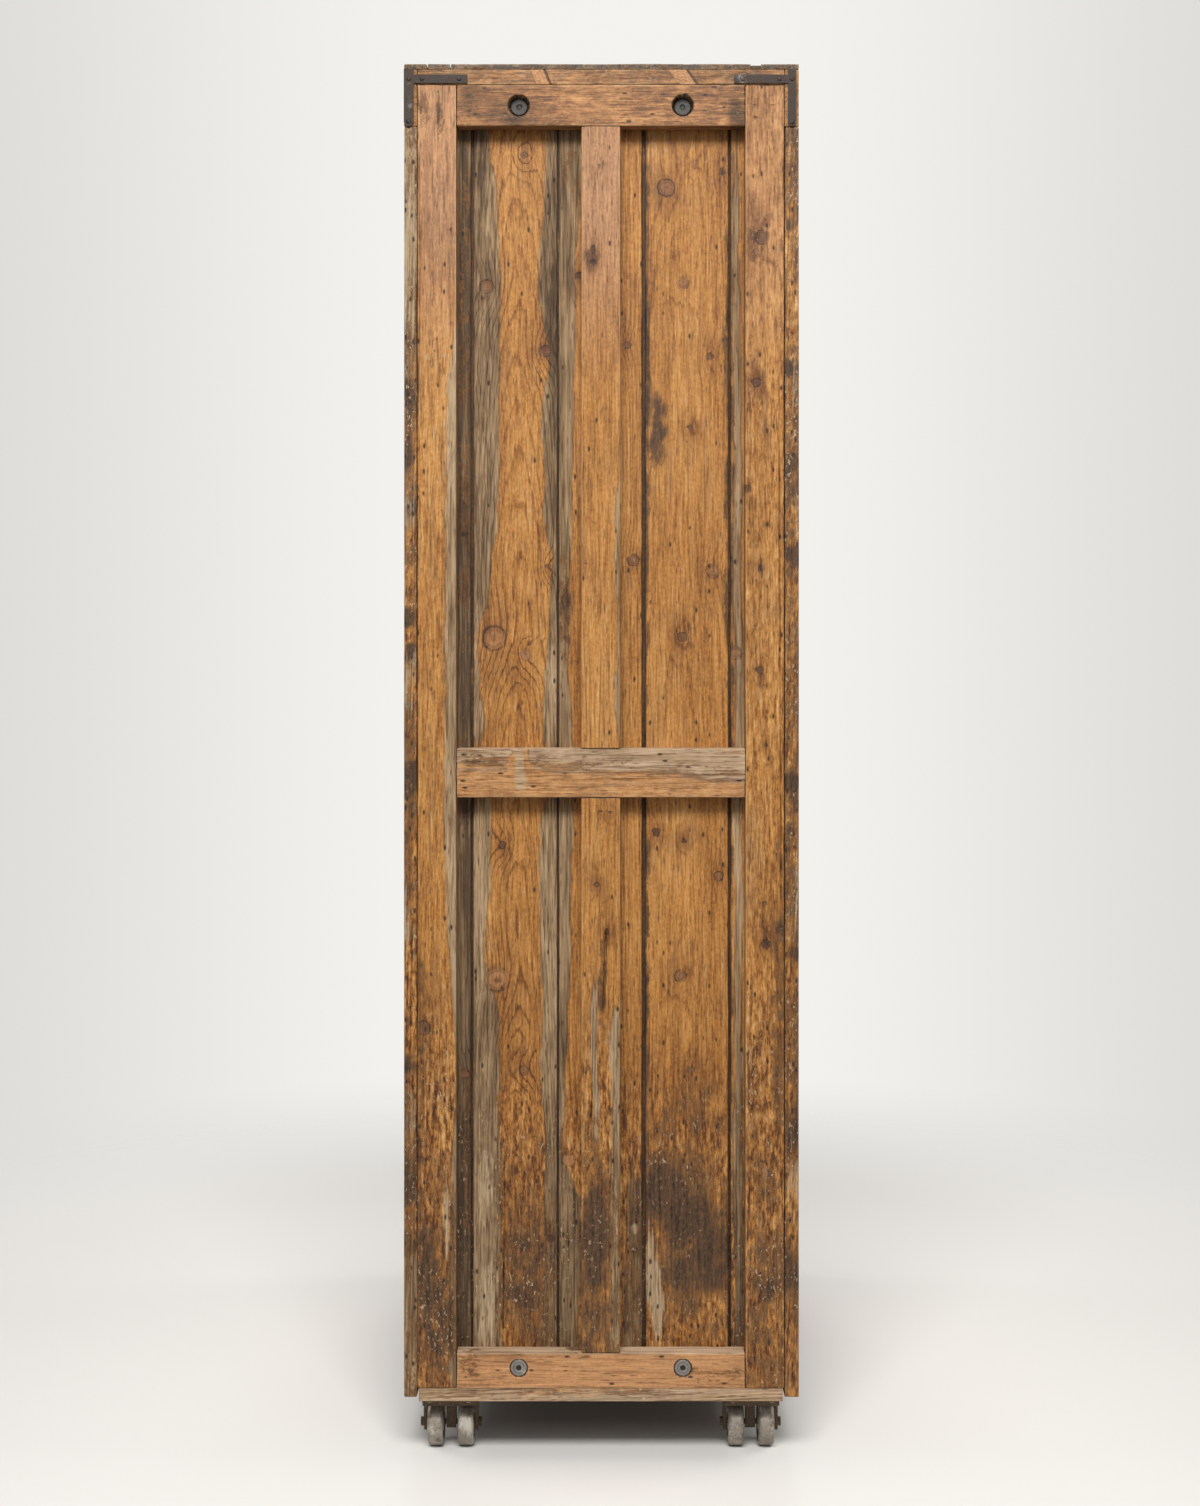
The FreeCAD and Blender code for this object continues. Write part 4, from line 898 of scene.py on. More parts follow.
def iron_material(name, paint=None):
    """Old iron: a dark skin with rust bloom and rubbed spots; `paint` may change the colour by place."""
    dark, rust, worn, rust_share, rub_share = IRON_LOOKS[name]
    tree = Surface(name)
    where = tree.place()
    bloom = tree.even_noise(where, 95.0, 6.0, 0.65)
    fine = tree.even_noise(where, 520.0, 4.0, 0.6)
    rub = tree.even_noise(where, 42.0, 5.0, 0.6)
    skin = tree.ramp(fine, [(0.3, dimmed(dark, 0.55)), (0.7, dark)])
    rust_colour = tree.ramp(fine, [(0.3, dimmed(rust, 0.4)), (0.75, rust)])
    rusty = tree.add(bloom, tree.swing(fine, 0.4))
    rusty = tree.fade(rusty, 0.62 - 0.4 * rust_share, 0.75 - 0.3 * rust_share)
    colour = tree.blend(tree.times(rusty, 0.85), skin, rust_colour)
    rubbed = tree.add(rub, tree.swing(fine, 0.35))
    rubbed = tree.fade(rubbed, 0.7 - 0.4 * rub_share, 0.82 - 0.3 * rub_share)
    colour = tree.blend(tree.times(rubbed, 0.75), colour, worn)
    shine = tree.times(tree.flip(rusty), 0.75)
    if paint is not None:
        colour, shine = paint(tree, where, colour, shine)
    tree.put(tree.shader.inputs["Metallic"], shine)
    rough = tree.add(tree.times(rusty, 0.25), tree.times(fine, 0.25), 0.35)
    height = tree.add(tree.times(bloom, 0.8), tree.times(fine, 0.6))
    return tree.finish(colour, rough, height, 0.5, 0.6 * MM)


BOLT_COLUMNS = (-118.5 * MM, 116.5 * MM)
LOW_BOLT_Z = 132 * MM
TOP_BOLT_Z = 1940.5 * MM
BOLT_DIMPLE = (3.2 * MM, 4.4 * MM)
BOLT_RING_INSIDE = (6.4 * MM, 7.4 * MM)
BOLT_RING_OUTSIDE = (7.8 * MM, 9.0 * MM)
BOLT_DARK = (0.018, 0.016, 0.014)


def bolt_rings(tree, where, colour, shine):
    """Dirt in the dimple and in a ring of each bolt head; the upper bolts are black all over."""
    place = tree.node("ShaderNodeSeparateXYZ", where)
    middle_z = (LOW_BOLT_Z + TOP_BOLT_Z) / 2
    off_axis = []
    for axis, (start, end) in ((Y, BOLT_COLUMNS), (Z, (LOW_BOLT_Z, TOP_BOLT_Z))):
        from_middle = tree.maths("ABSOLUTE", tree.add(place.outputs[axis], -(start + end) / 2))
        off_axis.append(tree.add(from_middle, -(end - start) / 2))
    away = tree.length(tree.node("ShaderNodeCombineXYZ", *off_axis).outputs[0])
    dimple = tree.fade_out(away, *BOLT_DIMPLE)
    ring = tree.times(tree.fade(away, *BOLT_RING_INSIDE), tree.fade_out(away, *BOLT_RING_OUTSIDE))
    upper = tree.maths("GREATER_THAN", place.outputs[Z], middle_z)
    dark = tree.most(dimple, tree.times(ring, 0.55), tree.times(upper, 0.85))
    return tree.blend(dark, colour, BOLT_DARK), tree.times(shine, tree.flip(dark))


INNER_WOOD_RAMP = [(0.3, (0.17, 0.085, 0.035)), (0.55, (0.37, 0.22, 0.105)), (0.8, (0.5, 0.33, 0.18))]
INNER_DIRT_COLOUR = (0.11, 0.07, 0.04)


def inner_wood_material(name, factors):
    """Dry unfinished pine for pieces that keep their CAD shape inside the cabinet."""
    tree = Surface(name)
    where = tree.place()
    fibre = tree.noise(where, factors, 4.0, 0.6)
    broad = tree.noise(where, dimmed(factors, 0.12), 3.0)
    colour = tree.ramp(tree.add(tree.times(fibre, 0.6), tree.times(broad, 0.45)), INNER_WOOD_RAMP)
    dirt = tree.fade(tree.even_noise(where, 14.0, 5.0, 0.7), 0.5, 0.72)
    colour = tree.blend(tree.times(dirt, 0.5), colour, INNER_DIRT_COLOUR)
    return tree.finish(colour, tree.add(tree.times(fibre, 0.3), 0.55), fibre, 0.3)


CARD_COLOUR = (0.6, 0.5, 0.34)
FOXED_COLOUR = (0.42, 0.29, 0.15)


def card_material(name):
    """Yellowed blank card."""
    tree = Surface(name)
    where = tree.place()
    fine = tree.even_noise(where, 900.0, 3.0)
    foxing = tree.fade(tree.even_noise(where, 60.0, 5.0, 0.7), 0.45, 0.75)
    colour = tree.blend(foxing, CARD_COLOUR, FOXED_COLOUR)
    return tree.finish(colour, tree.add(tree.times(fine, 0.2), 0.7), fine, 0.15, 0.2 * MM)


pine = AgedWood("aged_pine").material
cap_wood = AgedWood("cap_wood").material
case_wood = AgedWood("case_wood").material
runner_wood = inner_wood_material("runner_wood", (260.0, 9.0, 260.0))
tie_wood = inner_wood_material("tie_wood", (9.0, 260.0, 260.0))
strap_iron = iron_material("strap_iron")
caster_iron = iron_material("caster_iron")
wheel_iron = iron_material("wheel_iron")
bolt_steel = iron_material("bolt_steel", bolt_rings)
card = card_material("blank_card")

# Marks on the photographed end, read from the photograph
# Knots are (column, row, radius, darkness) in photo pixels
KNOTS = {
    "board_1": {"dark_low": (466, 813, 4, 1.0), "orange_low": (465, 1074, 6, 0.4)},
    "board_2": {
        "small_high": (524, 155, 5, 0.7),
        "ringed_high": (487, 286, 8, 0.35),
        "edge_high": (545, 351, 7, 0.6),
        "fan": (548, 566, 4, 0.8),
        "big_ringed": (494, 638, 13, 0.1),
        "swirl": (526, 655, 7, 0.3),
        "small_low": (502, 845, 5, 0.6),
        "big_low": (497, 980, 13, 0.15),
        "low_right": (524, 1070, 6, 0.5),
        "edge_bottom": (551, 1239, 5, 0.9),
    },
    "board_3": {
        "right_of_stripe": (579, 275, 5, 0.7),
        "behind_muntin_high": (627, 345, 5, 0.6),
        "behind_muntin_middle": (633, 560, 7, 0.5),
        "plug": (569, 1160, 8, 0.0),
    },
    "board_4": {
        "oval_high": (666, 188, 10, 0.3),
        "edge_stain_high": (723, 172, 5, 0.9),
        "pale_high": (695, 164, 5, 0.3),
        "middle_high": (683, 283, 7, 0.4),
        "right_high": (710, 356, 5, 0.6),
        "small_dark": (690, 428, 4, 0.7),
        "star": (713, 571, 8, 0.35),
        "middle": (682, 637, 6, 0.5),
        "left_low": (656, 832, 5, 0.8),
        "middle_low": (684, 840, 4, 0.7),
        "edge_notch": (719, 876, 6, 0.3),
        "low": (680, 976, 7, 0.5),
        "lowest": (691, 1070, 5, 0.6),
    },
    "board_5": {"ringed": (736, 653, 7, 0.3)},
    "front_stile": {
        "low_left": (424, 1028, 8, 0.6),
        "bottom_left": (421, 1160, 5, 0.8),
        "high_left": (434, 352, 3, 0.8),
    },
    "back_stile": {
        "nail_upper": (754, 104, 3, 0.9),
        "nail_lower": (756, 118, 3, 1.0),
        "slit": (773, 105, 3, 0.7),
        "high": (762, 237, 8, 0.7),
        "diagonal": (756, 382, 6, 0.6),
        "left_middle": (747, 489, 5, 0.8),
        "small_middle": (760, 568, 4, 0.7),
        "blob": (760, 670, 5, 0.8),
        "low": (764, 904, 4, 0.8),
        "gouge_end": (766, 944, 6, 0.9),
    },
    "front_post": {"high": (407, 200, 4, 0.8), "low": (409, 1023, 5, 0.9)},
    "back_post": {"middle": (794, 558, 5, 0.8)},
    "upper_muntin": {
        "top": (600, 167, 4, 0.8),
        "nail_above": (593, 248, 4, 0.9),
        "nail_below": (593, 261, 4, 0.9),
        "hole_left": (586, 564, 3, 1.0),
        "hole_low": (596, 609, 3, 1.0),
    },
    "lower_muntin": {
        "screw_left": (600, 811, 3, 0.9),
        "screw_right": (610, 813, 3, 0.9),
        "crack_top": (607, 932, 4, 1.0),
        "middle": (597, 884, 4, 0.5),
    },
}


def strip_beside(edge, *rows):
    """A strip from a straight edge at one photo column to the column that each (row, column) gives."""
    return [(row, *sorted((edge, column))) for row, column in rows]


# Grey strips are rows of (row, from column, to column) in photo pixels
BOARD_2_LEFT, BOARD_2_RIGHT, BOARD_3_LEFT = 466, 562, 552
STILE_INNER, MUNTIN_RIGHT = 462, 626
GREY_STRIPS = {
    "board_1": {"whole_width": [(120, 450, 475), (1360, 450, 475)]},
    "board_2": {
        "left_high": strip_beside(
            BOARD_2_LEFT,
            *((120, 488), (200, 497), (300, 501), (420, 500), (520, 497)),
            *((600, 489), (640, 478), (700, 484), (752, 482)),
        ),
        "left_low": strip_beside(
            BOARD_2_LEFT, (795, 492), (870, 493), (960, 484), (1010, 497), (1100, 500), (1360, 503)
        ),
        "right_high": strip_beside(
            BOARD_2_RIGHT,
            *((120, 549), (200, 542), (300, 539), (350, 551), (420, 542)),
            *((520, 544), (565, 553), (640, 546), (752, 541)),
        ),
        "right_low": strip_beside(
            BOARD_2_RIGHT, (795, 543), (880, 540), (1000, 541), (1200, 544), (1360, 541)
        ),
    },
    "board_3": {
        "left_high": strip_beside(
            BOARD_3_LEFT,
            *((120, 581), (210, 580), (260, 576), (400, 574), (550, 571), (650, 567), (752, 574)),
        ),
        "left_low": strip_beside(
            BOARD_3_LEFT, (795, 573), (950, 572), (1050, 567), (1150, 560), (1200, 580), (1360, 580)
        ),
        "right_low": [(1180, 628, 648), (1360, 625, 648)],
    },
    "board_4": {"left_edge": [(290, 640, 652), (430, 640, 651)]},
    "board_5": {
        "edge_high": [(120, 733, 738), (540, 731, 741), (620, 733, 743), (752, 734, 743)],
        "edge_low": [(795, 734, 742), (1100, 734, 743), (1360, 734, 744)],
    },
    "front_stile": {
        "inner_edge": strip_beside(
            STILE_INNER,
            *((325, 455), (400, 444), (600, 446), (800, 443), (900, 447), (1000, 450), (1060, 456)),
        ),
        "low": strip_beside(STILE_INNER, (1120, 453), (1392, 449)),
    },
    "upper_muntin": {"right_edge": strip_beside(MUNTIN_RIGHT, (440, 620), (520, 615), (752, 616))},
    "lower_muntin": {
        "right_edge": strip_beside(MUNTIN_RIGHT, (1000, 617), (1040, 610), (1360, 611)),
        "beside_crack": [(990, 592, 599), (1150, 590, 597)],
    },
    "mid_rail": {
        "upper_half": [(740, 528, 750), (772, 532, 750), (778, 600, 750)],
        "left_corner": [(740, 455, 514), (766, 455, 510)],
    },
    "front_post": {
        "top": [(20, 390, 428), (240, 398, 420), (420, 398, 408)],
        "foot": [(1240, 398, 420), (1480, 398, 420)],
    },
    "base_edge": {"streak": [(1388, 500, 600), (1402, 508, 595)]},
}
# Stains and painted shade, dim patches and bare patches are (column, row, half width, half height,
# strength) in photo pixels
STAINS_AND_SHADE = {
    "board_1": {"high": (464, 420, 16, 420, 0.42), "gap_low": (469, 1150, 5, 90, 1.0)},
    "board_2": {
        "low": (526, 1290, 40, 150, 0.58),
        "low_dark": (536, 1240, 16, 60, 0.6),
        "joint_side": (471, 640, 5, 70, 0.9),
    },
    "board_3": {
        # Painted shadow under the top rail
        "shade_under_top_rail": (570, 172, 14, 30, 0.45),
        "middle_left": (563, 610, 10, 60, 0.55),
        "low_right": (634, 1270, 16, 110, 0.6),
        "gap": (646, 430, 3, 380, 0.85),
        "gap_low": (646, 1030, 3, 240, 0.85),
    },
    "board_4": {
        "big_low": (690, 1240, 62, 120, 0.64),
        "core_left": (664, 1194, 32, 36, 1.12),
        "core_middle": (688, 1216, 44, 26, 1.17),
        "core_right": (712, 1258, 28, 46, 1.12),
        "core_low": (684, 1272, 26, 24, 0.98),
        "low_right": (704, 1320, 36, 60, 0.48),
        "above": (690, 1130, 60, 70, 0.36),
        "left_high": (658, 408, 10, 16, 0.7),
        "left_middle": (657, 440, 12, 24, 0.85),
        "gap": (646, 430, 4, 380, 0.75),
        "gap_low": (646, 1030, 4, 240, 0.75),
        "right_edge": (727, 430, 4, 330, 0.55),
    },
    "board_5": {"joint": (731, 640, 3, 620, 0.6)},
    "front_stile": {
        "bottom": (432, 1300, 40, 190, 0.56),
        "bottom_core": (428, 1270, 16, 90, 0.75),
        "edge": (419, 1020, 9, 160, 0.45),
        "top": (439, 112, 4, 40, 0.8),
        "top_left": (424, 102, 8, 24, 0.6),
    },
    "back_stile": {
        "bottom": (766, 1290, 30, 210, 0.5),
        "edge_low": (780, 1000, 9, 240, 0.6),
        "knot_cloud": (762, 238, 16, 26, 0.45),
    },
    "upper_muntin": {"nail_cloud": (593, 255, 9, 16, 0.5), "top": (600, 168, 9, 10, 0.45)},
    "lower_muntin": {
        "bottom": (598, 1280, 30, 170, 0.66),
        "bottom_core": (596, 1235, 18, 90, 1.0),
        "crack": (604, 980, 5, 55, 0.8),
    },
    "mid_rail": {
        "left_dark": (485, 757, 30, 9, 0.4),
        "upper": (570, 762, 90, 9, 0.3),
        "upper_right": (690, 764, 60, 8, 0.22),
    },
    "top_rail": {
        "bolt_left": (512, 106, 34, 20, 0.5),
        "bolt_right": (683, 105, 16, 16, 0.35),
        "left_corner": (468, 100, 16, 24, 0.5),
        "right_corner": (738, 108, 12, 24, 0.75),
    },
    "bottom_rail": {
        "left_corner": (466, 1372, 14, 22, 0.45),
        "top_middle": (590, 1354, 40, 8, 0.4),
        "low_right": (704, 1380, 44, 9, 0.4),
    },
    "front_post": {
        "upper": (409, 480, 12, 190, 0.5),
        "middle": (409, 800, 12, 190, 0.65),
        "low": (409, 1130, 12, 190, 0.5),
        "wisp_high": (410, 392, 7, 16, 1.5),
        "crack_high": (407, 455, 6, 20, 1.4),
        "wisp_middle": (410, 512, 6, 14, 1.4),
        "spot_upper": (408, 620, 7, 12, 1.5),
        "spot_lower": (410, 655, 7, 14, 1.5),
        "patch": (409, 780, 12, 22, 1.4),
        "wisp_low": (408, 1070, 8, 16, 1.3),
        "dark_upper": (409, 1180, 11, 34, 0.95),
        "dark_lower": (409, 1245, 11, 24, 0.9),
    },
    "back_post": {
        "upper": (793, 470, 12, 160, 0.4),
        "middle": (793, 760, 12, 190, 0.45),
        "low": (793, 1060, 12, 190, 0.5),
        "foot": (793, 1310, 12, 120, 0.45),
        "wisp_high": (793, 222, 6, 12, 1.4),
        "crack_high": (790, 373, 7, 12, 1.5),
        "wisp_middle": (793, 458, 7, 16, 1.3),
        "knot_cloud": (794, 558, 9, 18, 1.4),
        "patch": (793, 778, 10, 20, 1.4),
        "spot": (792, 955, 8, 10, 1.4),
        "dark_upper": (793, 1125, 11, 46, 0.85),
        "dark_lower": (793, 1268, 11, 44, 0.95),
    },
}
DIM_PATCHES = {
    "board_1": {"whole": (464, 420, 16, 600, 0.1)},
    "board_2": {
        "left_olive": (478, 330, 26, 420, 0.26),
        # left_top is painted shadow under the top rail
        "left_top": (478, 155, 16, 60, 0.4),
        "right_high": (553, 260, 13, 130, 0.45),
        "right_middle": (553, 460, 13, 110, 0.26),
    },
    # left_top is painted shadow under the top rail
    "board_3": {"left_olive": (562, 500, 20, 240, 0.13), "left_top": (566, 170, 20, 40, 0.1)},
    "upper_muntin": {"right_edge": (621, 640, 6, 130, 0.15)},
    "top_rail": {"left": (510, 106, 50, 40, 0.3), "right": (700, 106, 50, 40, 0.2)},
    "base_edge": {"left": (440, 1396, 60, 12, 0.25), "right": (740, 1396, 60, 12, 0.2)},
}
BARE_PATCHES = {
    "board_2": {"low_left": (487, 1300, 13, 60, 0.75), "low_left_top": (486, 1180, 12, 50, 0.6)},
    "board_3": {"half_round": (633, 1232, 7, 8, 0.8)},
    "board_4": {"low_left": (656, 1297, 10, 46, 0.95), "left_edge": (650, 1270, 5, 60, 0.8)},
    "front_post": {
        "top": (409, 230, 14, 150, 0.6),
        "upper": (409, 500, 9, 60, 0.5),
        "middle": (409, 690, 9, 50, 0.55),
        "low": (409, 930, 9, 70, 0.5),
        "foot": (409, 1120, 9, 60, 0.45),
    },
    "back_post": {
        "upper": (793, 380, 9, 60, 0.45),
        "middle": (793, 640, 9, 50, 0.45),
        "low": (793, 900, 9, 60, 0.45),
        "foot": (793, 1180, 9, 60, 0.5),
    },
    "base_edge": {"dusty": (600, 1395, 70, 5, 0.9), "left": (450, 1397, 30, 4, 0.6)},
    "mid_rail": {"stripe": (521, 768, 5, 34, 1.3)},
    "front_stile": {"scratch": (436, 355, 14, 3, 0.7), "drip": (447, 1220, 6, 60, 0.6)},
    "back_stile": {"low": (766, 1200, 4, 90, 0.45)},
}
# Splits are rows of (row, column) with a half width, in photo pixels
SPLITS = {
    "lower_muntin": {
        "upper": ([(930, 606), (975, 605), (1020, 603)], 1.6),
        "lower": ([(993, 595), (1060, 594), (1150, 592)], 2.2),
    },
    "front_stile": {"long": ([(150, 419), (260, 420), (420, 418)], 0.7)},
    "back_stile": {"long": ([(420, 779), (700, 780), (900, 781)], 0.8)},
    "board_2": {
        "low": ([(1180, 505), (1260, 504), (1335, 503)], 0.9),
        "slanting": ([(956, 523), (985, 534), (1030, 549)], 0.8),
    },
}
SPLIT_DEPTH = 4 * MM


def photo_marks(name, recess=0.0, holes=()):
    """Marks of one piece of the photographed end, turned from photo pixels to metres on that piece."""
    scale = photo_scale(recess)

    def at(column, row):
        return across_at(column, recess), up_at(row, recess)

    def knot(column, row, radius, dark):
        return *at(column, row), radius * scale, dark

    def oval(column, row, wide, high, strength):
        return *at(column, row), wide * scale, high * scale, strength

    def row_at(row, *columns):
        return up_at(row, recess), *(across_at(column, recess) for column in columns)

    def strip(*rows):
        return [row_at(*row) for row in rows]

    def split(rows, half_width):
        return strip(*rows), half_width * scale, SPLIT_DEPTH

    tables = {
        "knots": (KNOTS, knot),
        "grey": (GREY_STRIPS, strip),
        "dim": (DIM_PATCHES, oval),
        "stain": (STAINS_AND_SHADE, oval),
        "bare": (BARE_PATCHES, oval),
        "splits": (SPLITS, split),
    }
    marks = {"holes": list(holes)}
    for kind, (table, turn) in tables.items():
        marks[kind] = [turn(*mark) for mark in table.get(name, {}).values()]
    return marks


# Ranges of the marks placed by chance: radii in mm, and places and sizes as shares of the board
CHANCE_SEED = 500
CHANCE_KNOT_RADIUS = (4, 11)
CHANCE_KNOT_WIDEST = 0.2
CHANCE_KNOT_ACROSS = (0.12, 0.88)
CHANCE_KNOT_ALONG = (0.05, 0.95)
CHANCE_KNOT_DARK = (0.1, 0.9)
CHANCE_STRIP_REACH = (0.1, 0.28)
CHANCE_STRIP_CHANGE = (0.4, 1.3)
CHANCE_STRIP_ROWS = np.linspace(-0.1, 1.1, 7)
CHANCE_STREAK_START = (0.0, 0.4)
CHANCE_STREAK_LONG = (0.3, 0.6)
CHANCE_STAINS = 3
CHANCE_STAIN_ACROSS = (0.1, 0.9)
CHANCE_STAIN_UP = (0.02, 0.12)
CHANCE_STAIN_HIGH = (0.05, 0.1)
CHANCE_STAIN_WIDE = 0.6


def chance_marks(low, high, along, seed, sheet, knots=3, strips=1, foot=0.0):
    """Seeded marks for a board that the photograph doesn't show."""
    dice = np.random.default_rng(seed + CHANCE_SEED)
    s_axis, t_axis = sheet
    low_s, low_t = low[s_axis], low[t_axis]
    wide, tall = high[s_axis] - low_s, high[t_axis] - low_t
    marks = {"knots": [], "grey": [], "stain": []}
    for _ in range(knots):
        radius = min(dice.uniform(*CHANCE_KNOT_RADIUS) * MM, CHANCE_KNOT_WIDEST * min(wide, tall))
        middle_s = low_s + dice.uniform(*CHANCE_KNOT_ACROSS) * wide
        middle_t = low_t + dice.uniform(*CHANCE_KNOT_ALONG) * tall
        marks["knots"].append((middle_s, middle_t, radius, dice.uniform(*CHANCE_KNOT_DARK)))
    for _ in range(strips):
        at_high = dice.random() < 0.5
        share = dice.uniform(*CHANCE_STRIP_REACH)
        rows = []
        for step in CHANCE_STRIP_ROWS:
            reach = share * dice.uniform(*CHANCE_STRIP_CHANGE)
            if along == t_axis:
                height = low_t + step * tall
                start = low_s + (1.0 - reach) * wide if at_high else low_s - wide
                end = low_s + 2.0 * wide if at_high else low_s + reach * wide
            else:
                height = low_t + (0.55 + 0.5 * step) * tall
                start = low_s + wide * dice.uniform(*CHANCE_STREAK_START)
                end = start + wide * dice.uniform(*CHANCE_STREAK_LONG)
            rows.append((height, start, end))
        marks["grey"].append(rows)
    for _ in range(CHANCE_STAINS if foot > 0 else 0):
        middle_s = low_s + dice.uniform(*CHANCE_STAIN_ACROSS) * wide
        middle_t = low_t + dice.uniform(*CHANCE_STAIN_UP) * tall
        half_high = dice.uniform(*CHANCE_STAIN_HIGH) * tall
        marks["stain"].append((middle_s, middle_t, CHANCE_STAIN_WIDE * wide, half_high, foot))
    return marks


def chance_plank(low, high, along, seed, sheet, knots=3, strips=1, foot=0.0, **look):
    """A plank with marks placed by chance."""
    marks = chance_marks(low, high, along, seed, sheet, knots, strips, foot)
    return plank(low, high, along, seed, marks=marks, sheet=sheet, **look)


# The two ends: frame pieces, muntins and five matchboards
STILE_CELL = 5.5 * MM
BOARD_CELL = 5.7 * MM
FAR_CELL = 10 * MM
FRAME_EDGE = 1.8 * MM
PINK_FADE = (1.5, 1.8)
FAINT_PINK = 0.55
FOOT_BELOW = 0.2
FOOT_STAIN = 0.75
BOARDS = {
    # Board 1 is dark wood; its low brightness, dimming and stain also paint the shade that the front stile
    # casts on it
    "board_1": {"bright": 0.3, "rings": 0.4, "ring": 5 * MM, "pith": (40 * MM, 15 * MM, 0.01)},
    "board_2": {"bright": 0.52, "rings": 0.65, "ring": 3.6 * MM, "pith": (2 * MM, 8 * MM, 0.05)},
    "board_3": {"bright": 0.46, "rings": 0.4, "ring": 5 * MM, "pith": (-50 * MM, 20 * MM, 0.02)},
    "board_4": {"bright": 0.5, "rings": 0.35, "ring": 6 * MM, "pith": (-12 * MM, 26 * MM, 0.03)},
    "board_5": {"bright": 0.42, "rings": 0.3, "ring": 5 * MM, "pith": (60 * MM, 20 * MM, 0.01)},
}
BOARD_JOINTS = (-187 * MM, -63 * MM, 61 * MM, 185 * MM)
JOINT_GAPS = (3.2 * MM, 2.0 * MM, 4.0 * MM, 2.4 * MM)
TONGUE_BACK = 9 * MM
TONGUE_LAP = 1 * MM
RAILS = {
    "top_rail": {"pink": 0.6, "pits": 0.72, "bright": 0.3},
    "mid_rail": {"pink": 0.5, "pits": 0.7, "bright": 0.76},
    "bottom_rail": {"pink": 0.75, "pits": -0.2, "bright": 0.74},
}
BOLT_HOLES = {
    "top_rail": {"height": TOP_BOLT_Z, "radius": 15 * MM, "deep": 18 * MM},
    "bottom_rail": {"height": LOW_BOLT_Z, "radius": 12.5 * MM, "deep": 6 * MM},
}
# Each end's seed, and the steps from it to the seeds of its pieces
END_SEEDS = {"right": 100, "left": 300}
FRAME_PIECES = ("front_stile", "back_stile", *RAILS, "upper_muntin", "lower_muntin")
SEED_STEPS = {piece: step for step, piece in enumerate(FRAME_PIECES, 1)}
SEED_STEPS.update({board: step for step, board in enumerate(BOARDS, 20)})
SEED_STEPS["tongue"] = 40
SIDE_JOINTS = [(Y, LOW), (Y, HIGH)]
END_JOINTS = [(Z, LOW), (Z, HIGH)]
RAIL_LOOK = {"radius": FRAME_EDGE, "rings": 0.25, "dusty": 0.62, "joints": SIDE_JOINTS}
BOARD_LOOK = {"recess": BOARD_RECESS, "cell": BOARD_CELL, "radius": 3 * MM, "joints": SIDE_JOINTS}
# The tongue behind each board joint is painted near black: painted shade in the gap
TONGUE_SHADE_LOOK = {"cell": FAR_CELL, "radius": 0.5 * MM, "stain": PAINTED_SHADE_DARK, "bright": 0.1}


def pink_towards_top(places):
    return smooth(*PINK_FADE, places[:, Z])


def faintly_pink_towards_top(places):
    return FAINT_PINK * pink_towards_top(places)


UPRIGHT = {"radius": FRAME_EDGE, "pink": pink_towards_top, "rings": 0.3, "bright": 0.58}
PLAINER_UPRIGHT = {**UPRIGHT, "pink": faintly_pink_towards_top, "bright": 0.54}


def mirror_x(part):
    """The same part at the other end: X and the winding of the faces are turned round."""
    turned = dict(part)
    turned["places"] = part["places"] * np.array([-1.0, 1.0, 1.0])
    turned["quads"] = part["quads"][:, ::-1]
    return turned


def as_is(part):
    return part


def with_axis(corner, axis, value):
    """A copy of a corner with one coordinate changed."""
    changed = np.array(corner, float)
    changed[axis] = value
    return changed


